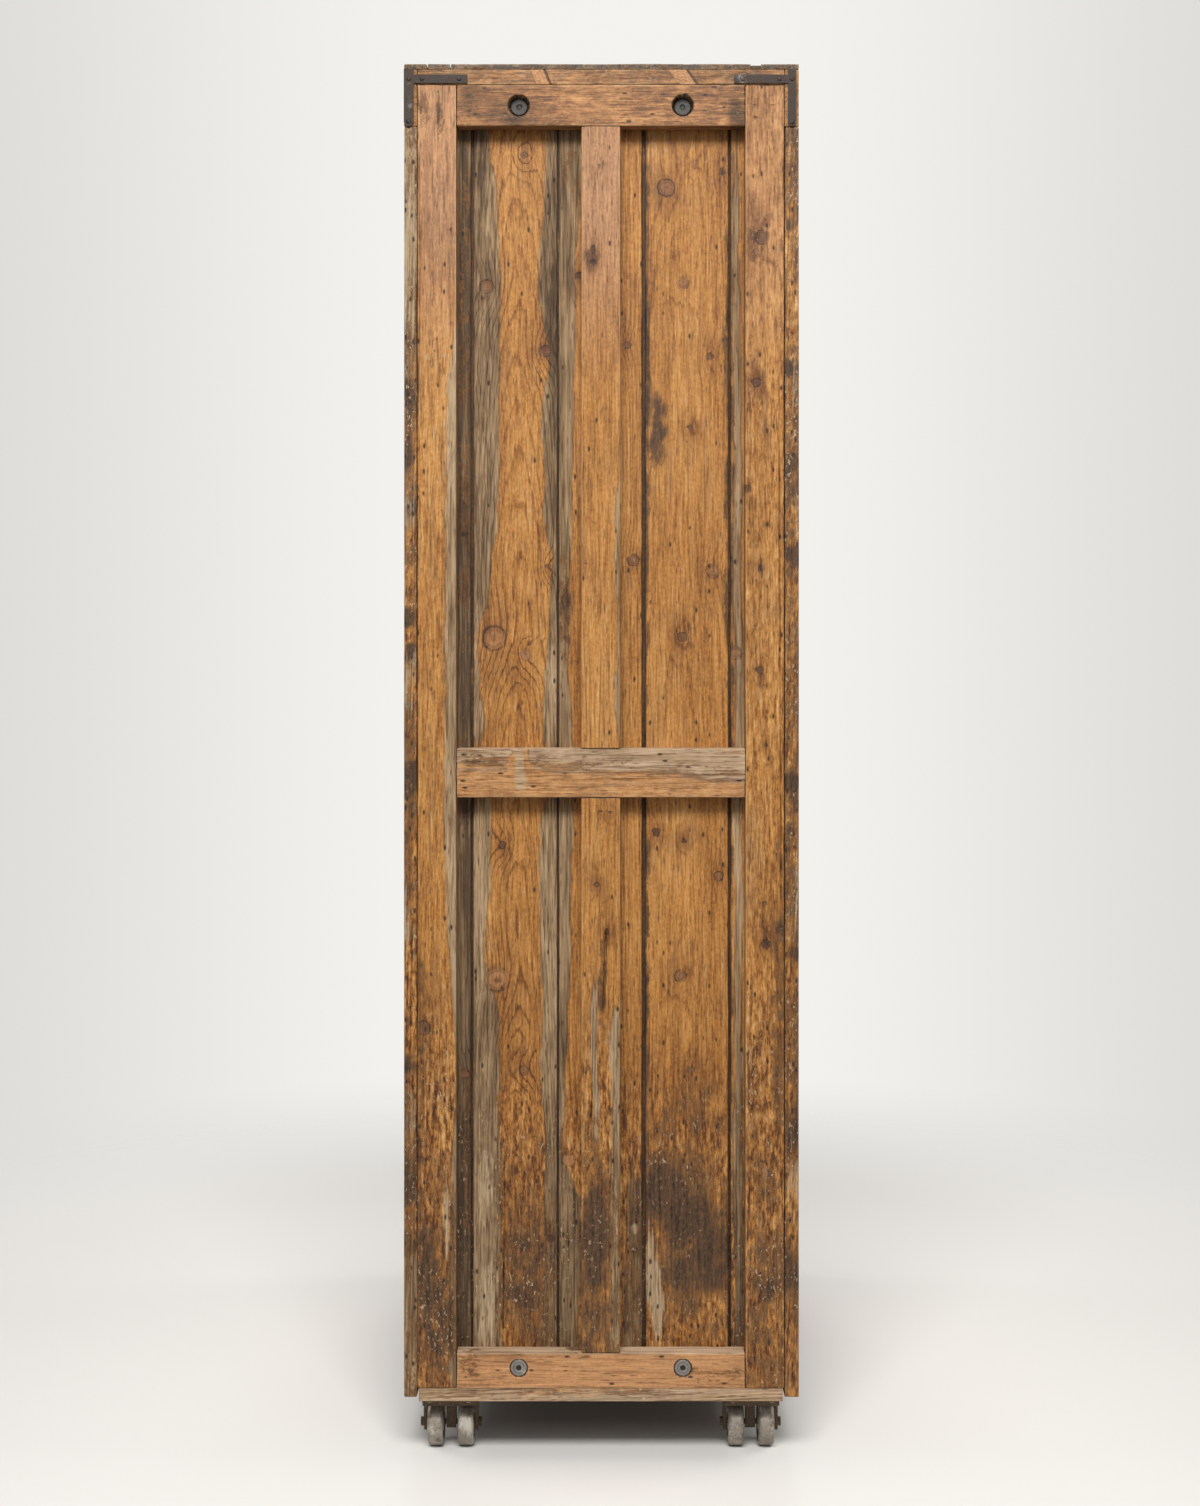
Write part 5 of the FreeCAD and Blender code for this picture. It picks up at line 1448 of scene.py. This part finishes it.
class EndBuilder:
    """Builds one end, marked from the photograph on the right and by chance on the left."""

    def __init__(self, end):
        self.end = end
        self.seen = end == "right"
        self.seed = END_SEEDS[end]
        self.turn = as_is if self.seen else mirror_x

    def span(self, piece):
        low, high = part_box(f"right_end_{piece}")
        return np.array(low), np.array(high)

    def part(self, key, along, low, high, holes=(), recess=0.0, cell=STILE_CELL, **look):
        seed = self.seed + SEED_STEPS[key]
        if self.seen:
            marks = photo_marks(key, recess, holes)
        else:
            foot = FOOT_STAIN if along == Z and low[Z] < FOOT_BELOW else 0.0
            marks = chance_marks(low, high, along, seed, (Y, Z), foot=foot)
            marks["holes"] = list(holes)
        return plank(low, high, along, seed, cell=cell if self.seen else FAR_CELL, marks=marks, **look)

    def put(self, piece, parts):
        parts = [self.turn(part) for part in parts]
        make_piece(f"{self.end}_{piece}", parts, [pine], CABINET, [f"{self.end}_end_{piece}"])

    def build_frame(self):
        front = self.span("front_stile")
        back = self.span("back_stile")
        front_joints = [(Y, LOW), *END_JOINTS]
        back_joints = [(Y, HIGH), *END_JOINTS]
        front_stile = self.part("front_stile", Z, *front, pits=0.6, joints=front_joints, **UPRIGHT)
        back_stile = self.part("back_stile", Z, *back, pits=0.7, joints=back_joints, **PLAINER_UPRIGHT)
        self.put("front_stile", [front_stile])
        self.put("back_stile", [back_stile])
        rails = {piece: self.build_rail(piece, front[1][Y], back[0][Y]) for piece in RAILS}
        low, high = self.span("muntins")
        spans = {
            "upper_muntin": (rails["mid_rail"][1][Z], rails["top_rail"][0][Z]),
            "lower_muntin": (rails["bottom_rail"][1][Z], rails["mid_rail"][0][Z]),
        }
        pits = {"upper_muntin": 0.35, "lower_muntin": 0.5}
        muntins = []
        for key, (start, end) in spans.items():
            corners = with_axis(low, Z, start), with_axis(high, Z, end)
            muntins.append(self.part(key, Z, *corners, pits=pits[key], joints=END_JOINTS, **UPRIGHT))
        self.put("muntins", muntins)

    def build_rail(self, piece, start, end):
        """A rail that shows between the stiles, with its bolt holes; gives its two corners."""
        low, high = self.span(piece)
        low[Y] = start
        high[Y] = end
        holes = []
        if piece in BOLT_HOLES:
            hole = BOLT_HOLES[piece]
            holes = [(column, hole["height"], hole["radius"], hole["deep"]) for column in BOLT_COLUMNS]
        look = {**RAIL_LOOK, **RAILS[piece]}
        self.put(piece, [self.part(piece, Y, low, high, holes, **look)])
        return low, high

    def build_boards(self):
        whole_low, whole_high = self.span("boards")
        edges = [whole_low[Y], *BOARD_JOINTS, whole_high[Y]]
        gaps = [0.0, *JOINT_GAPS, 0.0]
        parts = []
        for index, (key, look) in enumerate(BOARDS.items()):
            low = with_axis(whole_low, Y, edges[index] + gaps[index] / 2)
            high = with_axis(whole_high, Y, edges[index + 1] - gaps[index + 1] / 2)
            parts.append(self.part(key, Z, low, high, **BOARD_LOOK, **look))
        # Tongues behind the joints, painted near black as the shade in each gap
        for joint, gap in zip(BOARD_JOINTS, JOINT_GAPS):
            low = with_axis(whole_low, Y, joint - gap / 2 - TONGUE_LAP)
            high = with_axis(whole_high, Y, joint + gap / 2 + TONGUE_LAP)
            high[X] -= TONGUE_BACK
            parts.append(plank(low, high, Z, self.seed + SEED_STEPS["tongue"], **TONGUE_SHADE_LOOK))
        self.put("boards", parts)


for end in END_SEEDS:
    builder = EndBuilder(end)
    builder.build_frame()
    builder.build_boards()


# Posts, headers, back, deck, cap and base
SEEDS = {
    "posts": 60,
    "front_header": 62,
    "sill": 63,
    "back_boards": 70,
    "back_header": 80,
    "deck": 90,
    "splices": 96,
    "splice_gaps": 98,
    "cap": 100,
    "cap_splinter": 104,
    "base": 110,
    "cases": 1000,
}
POST_INNER = 400 * MM
WEATHERED_END = 16 * MM
EDGE_BOARD_LOOK = {"cell": 6 * MM, "pits": 0.95, "stain": 0.5, "end_only": WEATHERED_END}
HEADER_LOOK = {"cell": 9 * MM, "radius": 2 * MM, "pits": 0.5}
BACK_BOARD_COUNT = 7
CROSS_BOARD_COUNT = 6
HEADER_LOW = 1910 * MM
SILL_HIGH = 151 * MM


def boards_between(low, high, axis, count):
    """Boxes of boards laid side by side along one axis."""
    edges = np.linspace(low[axis], high[axis], count + 1)
    spans = zip(edges, edges[1:])
    return [(with_axis(low, axis, start), with_axis(high, axis, end)) for start, end in spans]


def put_on_cabinet(node, parts, name, material=pine):
    make_piece(name, parts, [material], CABINET, [node])


def build_posts():
    low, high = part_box("front_posts")
    post_low = with_axis(low, X, POST_INNER)
    look = {**EDGE_BOARD_LOOK, "radius": 2.2 * MM, "bright": 0.62, "rings": 0.4, "joints": [(Y, HIGH)]}
    parts = []
    for step, turn in enumerate((as_is, mirror_x)):
        post = plank(post_low, high, Z, SEEDS["posts"] + step, marks=photo_marks("front_post"), **look)
        parts.append(turn(post))
    put_on_cabinet("front_posts", parts, "front_posts_worn")


def build_front_rails():
    low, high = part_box("front_rails")
    header_low = with_axis(low, Z, HEADER_LOW)
    header_look = {**HEADER_LOOK, "bright": 0.3, "stain": 0.35}
    header = chance_plank(header_low, high, X, SEEDS["front_header"], (X, Z), **header_look)
    sill_low = with_axis(low, X, -POST_INNER)
    sill_high = np.array([POST_INNER, high[Y], SILL_HIGH])
    sill_look = {**HEADER_LOOK, "stain": 0.45}
    sill = chance_plank(sill_low, sill_high, X, SEEDS["sill"], (X, Z), knots=2, **sill_look)
    put_on_cabinet("front_rails", [header, sill], "front_rails_worn")


def build_back():
    low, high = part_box("back_boards")
    *hidden, seen = boards_between(low, high, X, BACK_BOARD_COUNT)
    shared = {"radius": 2.5 * MM, "rings": 0.6}
    look = {**shared, "cell": FAR_CELL, "pits": 0.1, "joints": [(X, LOW), (X, HIGH)]}
    parts = []
    for step, span in enumerate(hidden):
        seed = SEEDS["back_boards"] + step
        parts.append(chance_plank(*span, Z, seed, (X, Z), knots=5, foot=0.55, **look))
    look = {**shared, **EDGE_BOARD_LOOK, "bright": 0.6, "joints": [(X, LOW), (Y, LOW)]}
    seed = SEEDS["back_boards"] + len(hidden)
    parts.append(plank(*seen, Z, seed, marks=photo_marks("back_post"), **look))
    put_on_cabinet("back_boards", parts, "back_boards_worn")


def build_back_header():
    low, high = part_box("back_header")
    look = {**HEADER_LOOK, "bright": 0.32, "stain": 0.35}
    header = chance_plank(low, high, X, SEEDS["back_header"], (X, Z), knots=4, **look)
    put_on_cabinet("back_header", [header], "back_header_worn")


DECK_LOOK = {"cell": 8 * MM, "pink": 0.45, "pits": 0.75, "stain": 0.42, "bright": 0.24}
SPLICE_LONG = 60 * MM
SPLICE_PROUD = 0.4 * MM
SPLICE_GAP = 3.4 * MM
SPLICES = {
    "front": {"at": -103 * MM, "wide": 20 * MM, "lean": 9 * MM},
    "back": {"at": 94 * MM, "wide": 27 * MM, "lean": 16 * MM},
}
SPLICE_LOOK = {"pink": 0.8, "bright": 0.7, "joints": SIDE_JOINTS}
# The filler in each splice gap is painted near black: painted shade in the gap
SPLICE_GAP_SHADE_LOOK = {"radius": 0.4 * MM, "stain": PAINTED_SHADE_DARK}


def build_deck():
    low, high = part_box("top_deck_boards")
    parts = []
    for step, span in enumerate(boards_between(low, high, X, CROSS_BOARD_COUNT)):
        parts.append(chance_plank(*span, Y, SEEDS["deck"] + step, (X, Y), knots=2, **DECK_LOOK))
    for step, splice in enumerate(SPLICES.values()):
        start = splice["at"]
        end = start + splice["wide"]
        lean = (Y, splice["lean"])
        block_low = (high[X] - SPLICE_LONG, start, low[Z])
        block_high = (high[X] + SPLICE_PROUD, end, high[Z])
        block = plank(block_low, block_high, X, SEEDS["splices"] + step, lean=lean, **SPLICE_LOOK)
        # A filler in the gap beside each splice block, painted near black as painted shade
        gap_low = (block_low[X], end, low[Z])
        gap_high = (block_high[X] + SPLICE_PROUD, end + SPLICE_GAP, high[Z])
        gap = plank(gap_low, gap_high, X, SEEDS["splice_gaps"] + step, lean=lean, **SPLICE_GAP_SHADE_LOOK)
        parts.extend([block, mirror_x(block), gap, mirror_x(gap)])
    put_on_cabinet("top_deck_boards", parts, "top_deck_worn")


CAP_SPANS = ((-283 * MM, -250 * MM), (-249 * MM, -217 * MM), (-216 * MM, 214 * MM), (228 * MM, 283 * MM))
CAP_CELL = 8 * MM
CAP_LOOK = {"cell": CAP_CELL, "radius": 2 * MM, "pits": 0.6, "stain": 0.3, "grey": 0.45, "bright": 0.32}
# The splinter in the cap's split is painted near black: painted shade in the split
CAP_SPLIT_SHADE_LOOK = {"cell": CAP_CELL, "radius": 0.8 * MM, "stain": PAINTED_SHADE_DARK, "bright": 0.2}
CAP_SPLINTER_LAP = 1 * MM
CAP_SPLINTER_SUNK = 2.5 * MM


def build_cap():
    """Cap boards, and a splinter in the split between the last two, painted near black as painted shade in
    the split.
    """
    low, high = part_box("top_cap_boards")
    parts = []
    for step, (start, end) in enumerate(CAP_SPANS):
        span = (with_axis(low, Y, start), with_axis(high, Y, end))
        parts.append(chance_plank(*span, X, SEEDS["cap"] + step, (X, Y), knots=4, strips=0, **CAP_LOOK))
    before, after = CAP_SPANS[-2:]
    split_low = with_axis(low, Y, before[1] - CAP_SPLINTER_LAP)
    split_high = with_axis(high, Y, after[0] + CAP_SPLINTER_LAP)
    split_high[Z] -= CAP_SPLINTER_SUNK
    parts.append(plank(split_low, split_high, X, SEEDS["cap_splinter"], **CAP_SPLIT_SHADE_LOOK))
    put_on_cabinet("top_cap_boards", parts, "top_cap_worn", cap_wood)


# The underside of the base is painted dark: painted shade under the cabinet
BASE_LOOK = {"cell": 8 * MM, "pink": 0.5, "grey": 0.78, "pits": 0.8, "bright": 1.0, "sooty": 2.0}


def build_base():
    low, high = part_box("base_boards")
    marks = photo_marks("base_edge")
    parts = []
    for step, span in enumerate(boards_between(low, high, X, CROSS_BOARD_COUNT)):
        parts.append(plank(*span, Y, SEEDS["base"] + step, marks=marks, **BASE_LOOK))
    put_on_cabinet("base_boards", parts, "base_boards_worn")


# Type cases: front, sides, back, bottom and dividers, with an iron knob and card frame
CASE_COUNT = 20
CASE_SEED_STEP = 20
WALL_STEP, BACK_STEP, FLOOR_STEP, DIVIDER_STEP = 1, 3, 4, 5
CARD_BAR_STEP, CARD_SILL_STEP, CARD_STEP = 8, 9, 10
DIVIDED_CASES = 6
CASE_BAYS = 3
STREAKED_EVERY = 3
CASE_WALL = 12 * MM
CASE_FRONT_THICK = 16 * MM
CASE_FLOOR = (19 * MM, 25 * MM)
CASE_WALL_LOW = 14.2 * MM
CASE_WALL_TOP = 74 * MM
DIVIDER_THICK = 10 * MM
CASE_FRONT_LOOK = {"cell": 9 * MM, "radius": 1.8 * MM, "sheet": (X, Z), "pits": 0.15, "stain": 0.2}
CASE_FRONT_BRIGHT = 0.46
CASE_FRONT_CHANGE = 0.16
CASE_TONE_CELL = (3, 7)
CASE_TONE_SEED = 5
CASE_WALL_LOOK = {"cell": 16 * MM, "radius": 1.0 * MM, "pits": 0.2}
CASE_FLOOR_LOOK = {"cell": 22 * MM, "radius": 0.6 * MM, "pits": 0.3, "stain": 0.55}
HAND_STAIN = {"rise": 20 * MM, "half_wide": 70 * MM, "half_high": 30 * MM, "strength": 0.5}
IRON_SLOT, CARD_SLOT = 1, 2
KNOB_DEEP = 17 * MM
KNOB_DROP = 20 * MM
KNOB_SIDES = 24
# Radius and height above the case front, in mm, of each ring of the knob
KNOB_FOOT = ((9.7, 0.0), (10.0, 1.0), (9.4, 2.2))
KNOB_NECK = ((7.4, 4.4), (6.9, 6.4), (7.3, 8.6))
KNOB_HEAD = ((10.4, 10.6), (12.6, 11.9), (13.0, 13.2))
KNOB_CROWN = ((12.2, 14.6), (9.0, 16.3), (4.5, 16.9), (0.4, 17.0))
KNOB_PROFILE = (*KNOB_FOOT, *KNOB_NECK, *KNOB_HEAD, *KNOB_CROWN)
CARD_RISE = 17 * MM
CARD_WIDE = 72 * MM
CARD_HIGH = 30 * MM
CARD_BORDER = 4 * MM
CARD_FRAME_THICK = 2 * MM
CARD_THICK = 0.9 * MM
CARD_SHORT = 1.5 * MM
CARD_FRAME_LOOK = {"cell": 5 * MM, "radius": 0.5 * MM, "slot": IRON_SLOT}
CARD_LOOK = {"cell": 6 * MM, "radius": 0.3 * MM, "slot": CARD_SLOT}


def circle(count):
    """Cosine and sine of even steps round a circle."""
    angles = [2 * math.pi * step / count for step in range(count)]
    return [(math.cos(angle), math.sin(angle)) for angle in angles]


def knob_part(centre):
    """A turned knob that stands out towards the front."""
    places = []
    for radius, out in KNOB_PROFILE:
        for cosine, sine in circle(KNOB_SIDES):
            places.append(np.array(centre) + (radius * MM * cosine, -out * MM, radius * MM * sine))
    quads = []
    for row in range(len(KNOB_PROFILE) - 1):
        start = row * KNOB_SIDES
        above = start + KNOB_SIDES
        for step in range(KNOB_SIDES):
            after = (step + 1) % KNOB_SIDES
            quads.append((start + step, start + after, above + after, above + step))
    tip = (len(KNOB_PROFILE) - 1) * KNOB_SIDES
    last = KNOB_SIDES - 1
    for step in range(KNOB_SIDES // 2 - 1):
        across = (step, step + 1, last - 1 - step, last - step)
        quads.append([tip + corner for corner in across])
        quads.append(across[::-1])
    return plain_part(places, quads, IRON_SLOT)


def card_frame_parts(front_face, face_middle, seed):
    """Two iron sides and a sill, with a blank card that slides in from above."""
    low_z = face_middle + CARD_RISE - CARD_HIGH / 2
    high_z = low_z + CARD_HIGH
    half = CARD_WIDE / 2
    inner = half - CARD_BORDER
    iron_face = front_face - CARD_FRAME_THICK
    parts = []
    for side in (-1, 1):
        start, end = sorted((side * half, side * inner))
        bar = ((start, iron_face, low_z), (end, front_face, high_z))
        parts.append(plank(*bar, Z, seed + CARD_BAR_STEP, **CARD_FRAME_LOOK))
    sill = ((-inner, iron_face, low_z), (inner, front_face, low_z + CARD_BORDER))
    parts.append(plank(*sill, X, seed + CARD_SILL_STEP, **CARD_FRAME_LOOK))
    sheet_low = (-inner, front_face - CARD_THICK, low_z + CARD_BORDER)
    sheet_high = (inner, front_face, high_z - CARD_SHORT)
    parts.append(plank(sheet_low, sheet_high, X, seed + CARD_STEP, **CARD_LOOK))
    return parts


def case_front(number, low, high, seed):
    """The board that shows: some are streaked with grey, and all are dark round the knob."""
    strips = 1 if number % STREAKED_EVERY == 0 else 0
    marks = chance_marks(low, high, X, seed, (X, Z), knots=2, strips=strips)
    hand = HAND_STAIN
    stain = (0.0, low[Z] + hand["rise"], hand["half_wide"], hand["half_high"], hand["strength"])
    marks["stain"].append(stain)
    change = hashed(np.array([[number, *CASE_TONE_CELL]]), CASE_TONE_SEED)[0]
    bright = CASE_FRONT_BRIGHT + CASE_FRONT_CHANGE * change
    return plank(low, high, X, seed, marks=marks, bright=bright, **CASE_FRONT_LOOK)


def build_case(number):
    name = f"type_case_{number:02d}"
    low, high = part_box(name)
    seed = SEEDS["cases"] + CASE_SEED_STEP * number
    half = high[X]
    inner = half - CASE_WALL
    front_face = low[Y] + KNOB_DEEP
    front_inner = front_face + CASE_FRONT_THICK
    back_inner = high[Y] - CASE_WALL
    wall_low = low[Z] + CASE_WALL_LOW
    wall_top = low[Z] + CASE_WALL_TOP
    floor_low, floor_top = (low[Z] + height for height in CASE_FLOOR)
    parts = [case_front(number, (-half, front_face, low[Z]), (half, front_inner, high[Z]), seed)]
    for step, side in enumerate((-1, 1)):
        start, end = sorted((side * half, side * inner))
        wall = ((start, front_inner, wall_low), (end, high[Y], wall_top))
        parts.append(plank(*wall, Y, seed + WALL_STEP + step, **CASE_WALL_LOOK))
    back = ((-inner, back_inner, wall_low), (inner, high[Y], wall_top))
    parts.append(plank(*back, X, seed + BACK_STEP, **CASE_WALL_LOOK))
    floor = ((-inner, front_inner, floor_low), (inner, back_inner, floor_top))
    parts.append(plank(*floor, X, seed + FLOOR_STEP, **CASE_FLOOR_LOOK))
    if number <= DIVIDED_CASES:
        for step, side in enumerate((-1, 1)):
            start = side * inner / CASE_BAYS - DIVIDER_THICK / 2
            divider = ((start, front_inner, floor_top), (start + DIVIDER_THICK, back_inner, wall_top))
            parts.append(plank(*divider, Y, seed + DIVIDER_STEP + step, **CASE_WALL_LOOK))
    face_middle = (low[Z] + high[Z]) / 2
    parts.append(knob_part((0.0, front_face, face_middle - KNOB_DROP)))
    parts.extend(card_frame_parts(front_face, face_middle, seed))
    make_piece(f"{name}_worn", parts, [case_wood, strap_iron, card], name, [name])


build_posts()
build_front_rails()
build_back()
build_back_header()
build_deck()
build_cap()
build_base()
for number in range(1, CASE_COUNT + 1):
    build_case(number)

# Pieces whose CAD shape is right take their materials
CAD_LOOKS = {
    "tie_rails": tie_wood,
    "case_runners": runner_wood,
    "tie_bolts": bolt_steel,
    "caster_screws": bolt_steel,
    "corner_straps": strap_iron,
    "strap_nails": strap_iron,
    "caster_plates": caster_iron,
}
for node_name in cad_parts:
    if node_name.startswith("caster_fork"):
        CAD_LOOKS[node_name] = caster_iron
    if node_name.startswith("caster_wheel"):
        CAD_LOOKS[node_name] = wheel_iron
for node_name, material in CAD_LOOKS.items():
    for material_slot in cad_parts[node_name].material_slots:
        material_slot.material = material

# Studio: pale floor, with painted shade away from the middle, that fades into a backdrop with painted
# shade at its sides; soft light from above and from each side
FLOOR_REACH = 9.0
FLOOR_RINGS = 24
FLOOR_SPOKES = 96
FLOOR_RING_GROWTH = 1.5
FLOOR_FADE = (1.0, 2.3)
FLOOR_COLOUR = (0.77, 0.763, 0.746)
FLOOR_FAR_SHADED_COLOUR = (0.68, 0.674, 0.658)
FLOOR_SHADE_REACH = (0.5, 1.3)
BACKDROP_MIDDLE = (0.9, 0.89, 0.865)
BACKDROP_SHADED_SIDES = (0.715, 0.706, 0.684)
BACKDROP_SPREAD = (0.05, 0.3)
WORLD_COLOUR = (1.0, 0.99, 0.97)
WORLD_LIGHT_LOW = 0.16
WORLD_LIGHT_HIGH = 0.38
LAMP_COLOUR = (1.0, 0.985, 0.96)
# Each lamp: its place, the point that it faces, its size and its watts
LAMPS = {
    "key_light": ((3.9, -0.15, 4.2), (0.4, 0.0, 1.0), (2.6, 1.2), 240.0),
    "fill_light": ((4.2, 0.1, 2.9), (0.4, 0.0, 1.2), (2.4, 1.6), 22.0),
    "front_light": ((-0.4, -3.9, 4.1), (0.0, 0.0, 1.0), (2.6, 1.8), 60.0),
    "back_light": ((-0.4, 3.9, 4.1), (0.0, 0.0, 1.0), (2.6, 1.8), 70.0),
    "far_end_light": ((-3.9, 0.0, 4.2), (-0.4, 0.0, 1.0), (2.6, 1.8), 70.0),
}


def floor_mesh():
    """A round sheet, finer towards the middle."""
    places = [(0.0, 0.0, 0.0)]
    for ring in range(1, FLOOR_RINGS + 1):
        reach = FLOOR_REACH * (ring / FLOOR_RINGS) ** FLOOR_RING_GROWTH
        places.extend((reach * cosine, reach * sine, 0.0) for cosine, sine in circle(FLOOR_SPOKES))
    faces = [(0, 1 + spoke, 1 + (spoke + 1) % FLOOR_SPOKES) for spoke in range(FLOOR_SPOKES)]
    for ring in range(FLOOR_RINGS - 1):
        start = 1 + ring * FLOOR_SPOKES
        beyond = start + FLOOR_SPOKES
        for spoke in range(FLOOR_SPOKES):
            after = (spoke + 1) % FLOOR_SPOKES
            faces.append((start + spoke, beyond + spoke, beyond + after, start + after))
    mesh = bpy.data.meshes.new("studio_floor")
    mesh.from_pydata(places, [], faces)
    return mesh


def floor_material():
    tree = Surface("studio_floor")
    where = tree.place()
    away = tree.length(where)
    scuffs = tree.even_noise(where, 3.0, 5.0, 0.6)
    near = tree.blend(scuffs, dimmed(FLOOR_COLOUR, 0.97), FLOOR_COLOUR)
    # Painted shade: the floor darkens from half a metre to 1.3 m away from the middle
    colour = tree.blend(tree.fade(away, *FLOOR_SHADE_REACH), near, FLOOR_FAR_SHADED_COLOUR)
    tree.finish(colour, tree.add(tree.times(scuffs, 0.2), 0.6), scuffs, 0.05)
    clear = tree.node("ShaderNodeBsdfTransparent").outputs[0]
    faded = tree.fade(away, *FLOOR_FADE)
    mixed = tree.node("ShaderNodeMixShader", faded, tree.shader.outputs[0], clear)
    tree.put(tree.nodes["Material Output"].inputs["Surface"], mixed.outputs[0])
    return tree.material


def build_floor():
    mesh = floor_mesh()
    mesh.materials.append(floor_material())
    floor = add_to_scene("studio_floor", mesh)


def build_world():
    """Light that grows towards the zenith, and a backdrop with painted shade towards its sides for rays
    that see it.
    """
    world = bpy.data.worlds.new("studio")
    bpy.context.scene.world = world
    tree = Tree(world)
    way = tree.node("ShaderNodeSeparateXYZ", tree.node("ShaderNodeTexCoord").outputs["Generated"])
    rise = tree.node("ShaderNodeMapRange", way.outputs[Z], 0.0, 1.0, WORLD_LIGHT_LOW, WORLD_LIGHT_HIGH)
    lit = tree.nodes["Background"]
    tree.put(lit.inputs["Color"], (*WORLD_COLOUR, 1.0))
    tree.put(lit.inputs["Strength"], rise.outputs[0])
    # Painted shade: the backdrop darkens towards its sides
    aside = tree.fade(tree.maths("ABSOLUTE", way.outputs[Y]), *BACKDROP_SPREAD)
    seen = tree.node("ShaderNodeBackground", tree.blend(aside, BACKDROP_MIDDLE, BACKDROP_SHADED_SIDES))
    path = tree.node("ShaderNodeLightPath")
    rays = ("Is Camera Ray", "Is Glossy Ray", "Is Transmission Ray")
    either = tree.most(*(path.outputs[ray] for ray in rays))
    mixed = tree.node("ShaderNodeMixShader", either, lit.outputs[0], seen.outputs[0])
    tree.put(tree.nodes["World Output"].inputs["Surface"], mixed.outputs[0])


def soft_lamp(name, place, target, size, watts):
    lamp = bpy.data.lights.new(name, "AREA")
    lamp.shape = "RECTANGLE"
    lamp.size, lamp.size_y = size
    lamp.energy = watts
    lamp.color = LAMP_COLOUR
    holder = add_to_scene(name, lamp)
    holder.location = place
    aim = np.array(target) - np.array(place)
    flat = math.hypot(aim[X], aim[Y])
    holder.rotation_euler = (math.atan2(flat, -aim[Z]), 0.0, math.atan2(aim[Y], aim[X]) - math.pi / 2)


def build_camera():
    lens = bpy.data.cameras.new("camera")
    lens.sensor_width = SENSOR
    lens.lens = SENSOR * CAMERA_AWAY / PIXEL / PHOTO_HEIGHT
    lens.shift_y = (HORIZON_PX - PHOTO_HEIGHT / 2) / PHOTO_HEIGHT
    camera = add_to_scene("camera", lens)
    camera.location = (END_FACE + CAMERA_AWAY, across_at(PHOTO_WIDTH / 2), CAMERA_HIGH)
    camera.rotation_euler = (math.pi / 2, 0.0, math.pi / 2)
    bpy.context.scene.camera = camera


build_floor()
build_world()
for lamp_name, settings in LAMPS.items():
    soft_lamp(lamp_name, *settings)
build_camera()
bpy.context.scene.view_settings.view_transform = "Standard"
